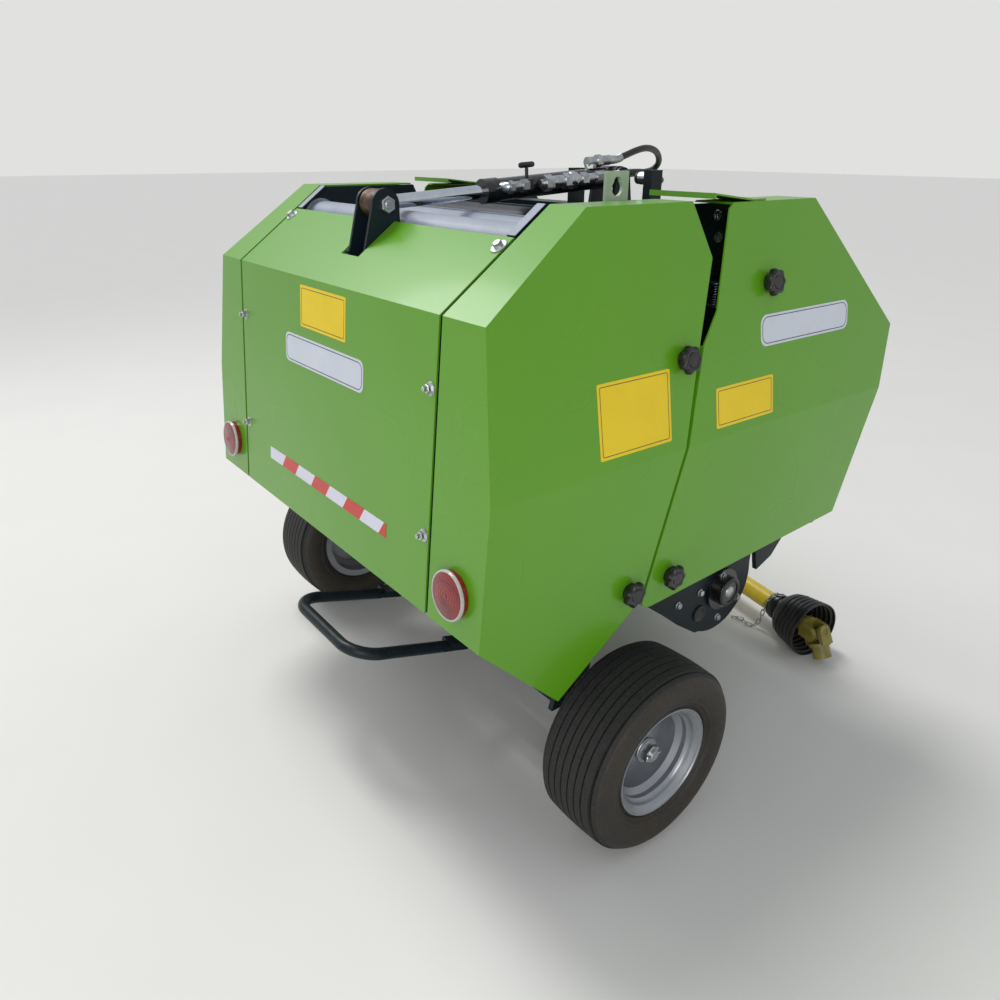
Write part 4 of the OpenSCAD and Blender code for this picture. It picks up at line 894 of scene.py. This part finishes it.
tubeLabel = {"lift": 0.1, "thick": 0.4, "half": 40, "steps": 14}  # half is its angle each way from the top
labelReach = shaft["tubeRadius"] + tubeLabel["lift"]
points = []
for reach in (labelReach, labelReach + tubeLabel["thick"]):
    for along in (shaft["labelFrom"], shaft["labelTo"]):
        for k in range(tubeLabel["steps"] + 1):
            turn = math.radians(tubeLabel["half"] * (2 * k / tubeLabel["steps"] - 1))
            points.append((reach * math.sin(turn), reach * math.cos(turn), along))
row = tubeLabel["steps"] + 1
faces = []
for k in range(tubeLabel["steps"]):
    faces += [[2 * row + k, 2 * row + k + 1, 3 * row + k + 1, 3 * row + k], [k + 1, k, row + k, row + k + 1],
              [k, k + 1, 2 * row + k + 1, 2 * row + k], [row + k + 1, row + k, 3 * row + k, 3 * row + k + 1]]
faces += [[0, 2 * row, 3 * row, row], [row - 1, 2 * row - 1, 4 * row - 1, 3 * row - 1]]
across = Vector((0, 0, 1)).cross(shaftWay)
makePiece("tubeLabel", [place((points, faces), shaft["mouth"], shaftWay, across * -1)], "root", whiteVinyl)

chain = {"length": 22, "width": 12, "wire": 3, "arcSteps": 8, "wireSides": 8, "path": [
    (341, 1083, 216), (329, 1072, 214), (319, 1062, 196), (312, 1058, 165), (306, 1055, 132),
    (297, 1051, 113), (282, 1042, 111), (268, 1045, 111), (254, 1049, 111), (240, 1041, 111),
    (226, 1037, 111)]}


def linkShape():  # one link lying flat, its length along X
    half = (chain["length"] - chain["width"]) / 2
    radius = (chain["width"] - chain["wire"]) / 2
    path = []
    for side in (1, -1):
        for k in range(chain["arcSteps"] + 1):
            turn = math.pi * (k / chain["arcSteps"] - 0.5)
            path.append((side * (half + radius * math.cos(turn)), side * radius * math.sin(turn), 0))
    return tube(path, chain["wire"] / 2, chain["wireSides"], closed=True)


links = []
route = smoothPath(chain["path"], 12)
pitch = chain["length"] - 2 * chain["wire"]
walked, goal = 0.0, 0.0
for a, b in zip(route, route[1:]):
    walked += (b - a).length
    if walked >= goal:
        way = (b - a).normalized()
        level = way.cross(Vector((0, 0, 1))).normalized()
        flat = level if len(links) % 2 else way.cross(level)
        links.append(place(linkShape(), b, flat, way))
        goal += pitch
makePiece("safetyChain", links, "root", chainZinc, sharp=60)
print("shaft fittings made,", len(links), "links")


# Camera, floor and light

camera = {"yaw": 52.048, "pitch": 24.022, "roll": 0.243, "lens": 28.477, "sensor": 36,
          "place": (1315.3, -627.0, 1300.0), "sight": 100}  # sight is how far it sees, in m
yaw, pitch, roll = (math.radians(camera[key]) for key in ("yaw", "pitch", "roll"))
forward = Vector((-math.sin(yaw) * math.cos(pitch), math.cos(yaw) * math.cos(pitch), -math.sin(pitch)))
level = Vector((math.cos(yaw), math.sin(yaw), 0))
over = level.cross(forward)
rightWay = level * math.cos(roll) + over * math.sin(roll)
upWay = over * math.cos(roll) - level * math.sin(roll)
lensData = bpy.data.cameras.new("photoCamera")
lensData.sensor_width = camera["sensor"]
lensData.lens = camera["lens"]
lensData.clip_end = camera["sight"]
photoCamera = bpy.data.objects.new("photoCamera", lensData)
photoCamera.matrix_world = Matrix.Translation(at(*camera["place"])) @ Matrix(
    (rightWay, upWay, -forward)).transposed().to_4x4()
bpy.context.scene.collection.objects.link(photoCamera)
bpy.context.scene.camera = photoCamera

floorSize = 40  # m each way
floorMesh = bpy.data.meshes.new("studioFloor")
corners = [(x * floorSize, y * floorSize, 0) for x, y in ((-1, -1), (1, -1), (1, 1), (-1, 1))]
floorMesh.from_pydata(corners, [], [(0, 1, 2, 3)])
studioFloor = bpy.data.objects.new("studioFloor", floorMesh)
bpy.context.scene.collection.objects.link(studioFloor)

# Matt floor paint rolled on: an even warm pale grey
floorPaint, tree, coords = newMaterial("floorPaint")
cloud = addNode(tree, "ShaderNodeTexNoise", None, {"Vector": coords, "Scale": perMm(300), "Detail": 3.0})
pale = addNode(tree, "ShaderNodeMix", {"data_type": "RGBA"}, {
    0: cloud, 6: toLinear("#d2d0cb"), 7: toLinear("#d6d4cf")}, 2)
matt = addNode(tree, "ShaderNodeBsdfPrincipled", None, {"Base Color": pale, "Roughness": 0.9})
addNode(tree, "ShaderNodeOutputMaterial", None, {"Surface": matt})
floorMesh.materials.append(floorPaint)

sky = {"horizon": "#f4f2ee", "zenith": "#e3eaf4", "strength": 0.6, "seen": "#e1e2e0"}  # seen by the camera
world = bpy.data.worlds.new("studioWorld")
bpy.context.scene.world = world
world.use_nodes = True
tree = world.node_tree
tree.nodes.clear()
way = addNode(tree, "ShaderNodeTexCoord", None, None, "Generated")
height = addNode(tree, "ShaderNodeSeparateXYZ", None, {0: way}, "Z")
share = addNode(tree, "ShaderNodeMapRange", None, {"Value": height, "From Min": 0.0, "From Max": 0.7})
glow = addNode(tree, "ShaderNodeMix", {"data_type": "RGBA"}, {
    0: share, 6: toLinear(sky["horizon"]), 7: toLinear(sky["zenith"])}, 2)
lit = addNode(tree, "ShaderNodeBackground", None, {"Color": glow, "Strength": sky["strength"]})
seen = addNode(tree, "ShaderNodeBackground", None, {"Color": toLinear(sky["seen"]), "Strength": 1.0})
direct = addNode(tree, "ShaderNodeLightPath", None, None, "Is Camera Ray")
both = addNode(tree, "ShaderNodeMixShader", None, {0: direct, 1: lit, 2: seen})
addNode(tree, "ShaderNodeOutputWorld", None, {"Surface": both})

sunLight = {"from": (-0.46, 0.02, 0.88), "angle": 20, "energy": 1.7}
panelLights = [  # name, place and target in mm, size in m, energy
    ("fillPanel", (3600, -3000, 2500), (300, 300, 600), 3.2, 76),
    ("topPanel", (-2880, -720, 3810), (0, 120, 1170), 2.0, 52),
]
sunData = bpy.data.lights.new("softSun", "SUN")
sunData.angle = math.radians(sunLight["angle"])
sunData.energy = sunLight["energy"]
sun = bpy.data.objects.new("softSun", sunData)
sun.matrix_world = (Vector(sunLight["from"]) * -1).to_track_quat("-Z", "Y").to_matrix().to_4x4()
bpy.context.scene.collection.objects.link(sun)
for name, spot, target, size, energy in panelLights:
    data = bpy.data.lights.new(name, "AREA")
    data.shape = "DISK"
    data.size = size
    data.energy = energy
    panel = bpy.data.objects.new(name, data)
    aim = at(*target) - at(*spot)
    panel.matrix_world = Matrix.Translation(at(*spot)) @ aim.to_track_quat("-Z", "Y").to_matrix().to_4x4()
    bpy.context.scene.collection.objects.link(panel)

bpy.context.scene.view_settings.view_transform = "Standard"
print("camera and lights set")
